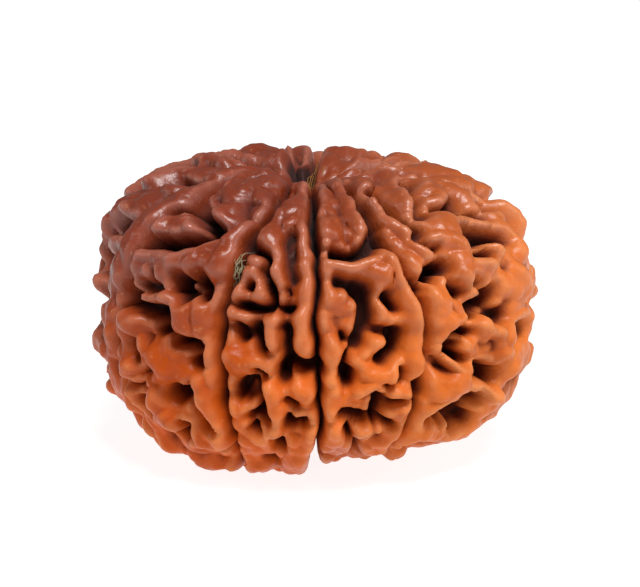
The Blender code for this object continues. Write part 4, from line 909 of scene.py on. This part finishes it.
def layFibres(name, rules, skinSample, material):
    # strands that lie in the hollows, each between two places of the skin
    rng = random.Random(rules["seed"])
    dirs, points = skinSample
    allPoints, allFaces = [], []
    for _ in range(rules["count"]):
        ends = [(lon + rng.uniform(-1, 1) * rules["stray"], lat + rng.uniform(-1, 1) * rules["stray"])
                for lon, lat in (rng.choice(rules["starts"]), rng.choice(rules["stops"]))]
        course = []
        for t in np.linspace(0, 1, fibreLook["knots"]):
            lon = ends[0][0] + (ends[1][0] - ends[0][0]) * t
            lat = ends[0][1] + (ends[1][1] - ends[0][1]) * t
            way = direction(lon, lat)
            near = points[np.argmax(dirs @ way)]
            lift = rules["lift"] * (0.3 + math.sin(math.pi * t)) * 0.001
            course.append(near + way * lift)
        course = np.array(course)
        for _ in range(2):
            course[1:-1] = (course[:-2] + 2 * course[1:-1] + course[2:]) / 4
        bend = np.array([rng.uniform(-1, 1) for _ in range(3)]) * rules["bend"] * 0.001
        course += np.sin(np.linspace(0, math.pi, fibreLook["knots"]))[:, None] * bend
        radius = rules["radius"] * rng.uniform(0.6, 1.2) * 0.001
        strandPoints, strandFaces = strand(course, radius, fibreLook["sides"])
        allFaces += [tuple(i + len(allPoints) for i in face) for face in strandFaces]
        allPoints += strandPoints
    fibres = meshObject(name, allPoints, allFaces, material)
    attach(fibres, "root")


bead, heart, skinSample = growStone(oiledStoneWood())
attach(bead, "root")
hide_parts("bead")
print("stone grown", len(bead.data.vertices), "points", tuple(round(x * 1000, 2) for x in bead.dimensions))
layFibres("groove_fibres", grooveFibres, skinSample, fibreFinish("dry pale fibre", fibreLook["dry"]))
layFibres("mouth_fibres", mouthFibres, skinSample, fibreFinish("golden fibre", fibreLook["golden"]))
print("fibres laid")


studio = dict(
    floor="#949392", floorRoughness=0.9, floorGlow=0.88, floorHalf=1.5,
    world=0.18,
    lamps=[("softbox", (0.06, -0.18, 0.36), 0.15, 1.75),   # place, size and power
           ("right strip", (0.34, -0.10, 0.16), 0.20, 0.38),
           ("left strip", (-0.34, -0.04, 0.16), 0.16, 0.22)],
)


def layFloor():
    # Opal acrylic, lit from below: an even white that also lights the underside.
    material, _, shader = newMaterial("lit opal acrylic")
    shader.inputs["Base Color"].default_value = toLinear(studio["floor"])
    shader.inputs["Roughness"].default_value = studio["floorRoughness"]
    shader.inputs["Emission Color"].default_value = (1, 1, 1, 1)
    shader.inputs["Emission Strength"].default_value = studio["floorGlow"]
    half = studio["floorHalf"]
    corners = [(-half, -half, 0), (half, -half, 0), (half, half, 0), (-half, half, 0)]
    return meshObject("floor", corners, [(0, 1, 2, 3)], material)


def hangLight(name, place, size, power, target):
    lamp = bpy.data.lights.new(name, "AREA")
    lamp.shape = "SQUARE"
    lamp.size, lamp.energy = size, power
    holder = bpy.data.objects.new(name, lamp)
    bpy.context.scene.collection.objects.link(holder)
    holder.location = place
    holder.rotation_euler = (Vector(place) - target).to_track_quat("Z", "Y").to_euler()


def paleWorld(strength):
    world = bpy.data.worlds.new("pale room")
    world.use_nodes = True
    background = world.node_tree.nodes["Background"]
    background.inputs["Color"].default_value = (1, 1, 1, 1)
    background.inputs["Strength"].default_value = strength
    bpy.context.scene.world = world


view = dict(
    elevation=14.0, distance=0.1359,   # degrees above the level, and metres from the stone's middle
    lens=120.0, sensor=36.0, clip=0.005,
    shift=(0.0086, 0.0203),            # where the stone's middle stands in the picture
)


def placeCamera():
    lens = bpy.data.cameras.new("camera")
    lens.lens, lens.sensor_width, lens.clip_start = view["lens"], view["sensor"], view["clip"]
    lens.shift_x, lens.shift_y = view["shift"]
    camera = bpy.data.objects.new("camera", lens)
    bpy.context.scene.collection.objects.link(camera)
    up = math.radians(view["elevation"])
    back = Vector((0, -math.cos(up), math.sin(up)))
    camera.location = heart + back * view["distance"]
    camera.rotation_euler = back.to_track_quat("Z", "Y").to_euler()
    bpy.context.scene.camera = camera


bpy.context.scene.view_settings.view_transform = "Standard"   # paper white stays white
floor = layFloor()
paleWorld(studio["world"])
for name, place, size, power in studio["lamps"]:
    hangLight(name, place, size, power, heart)
placeCamera()
print("studio set")
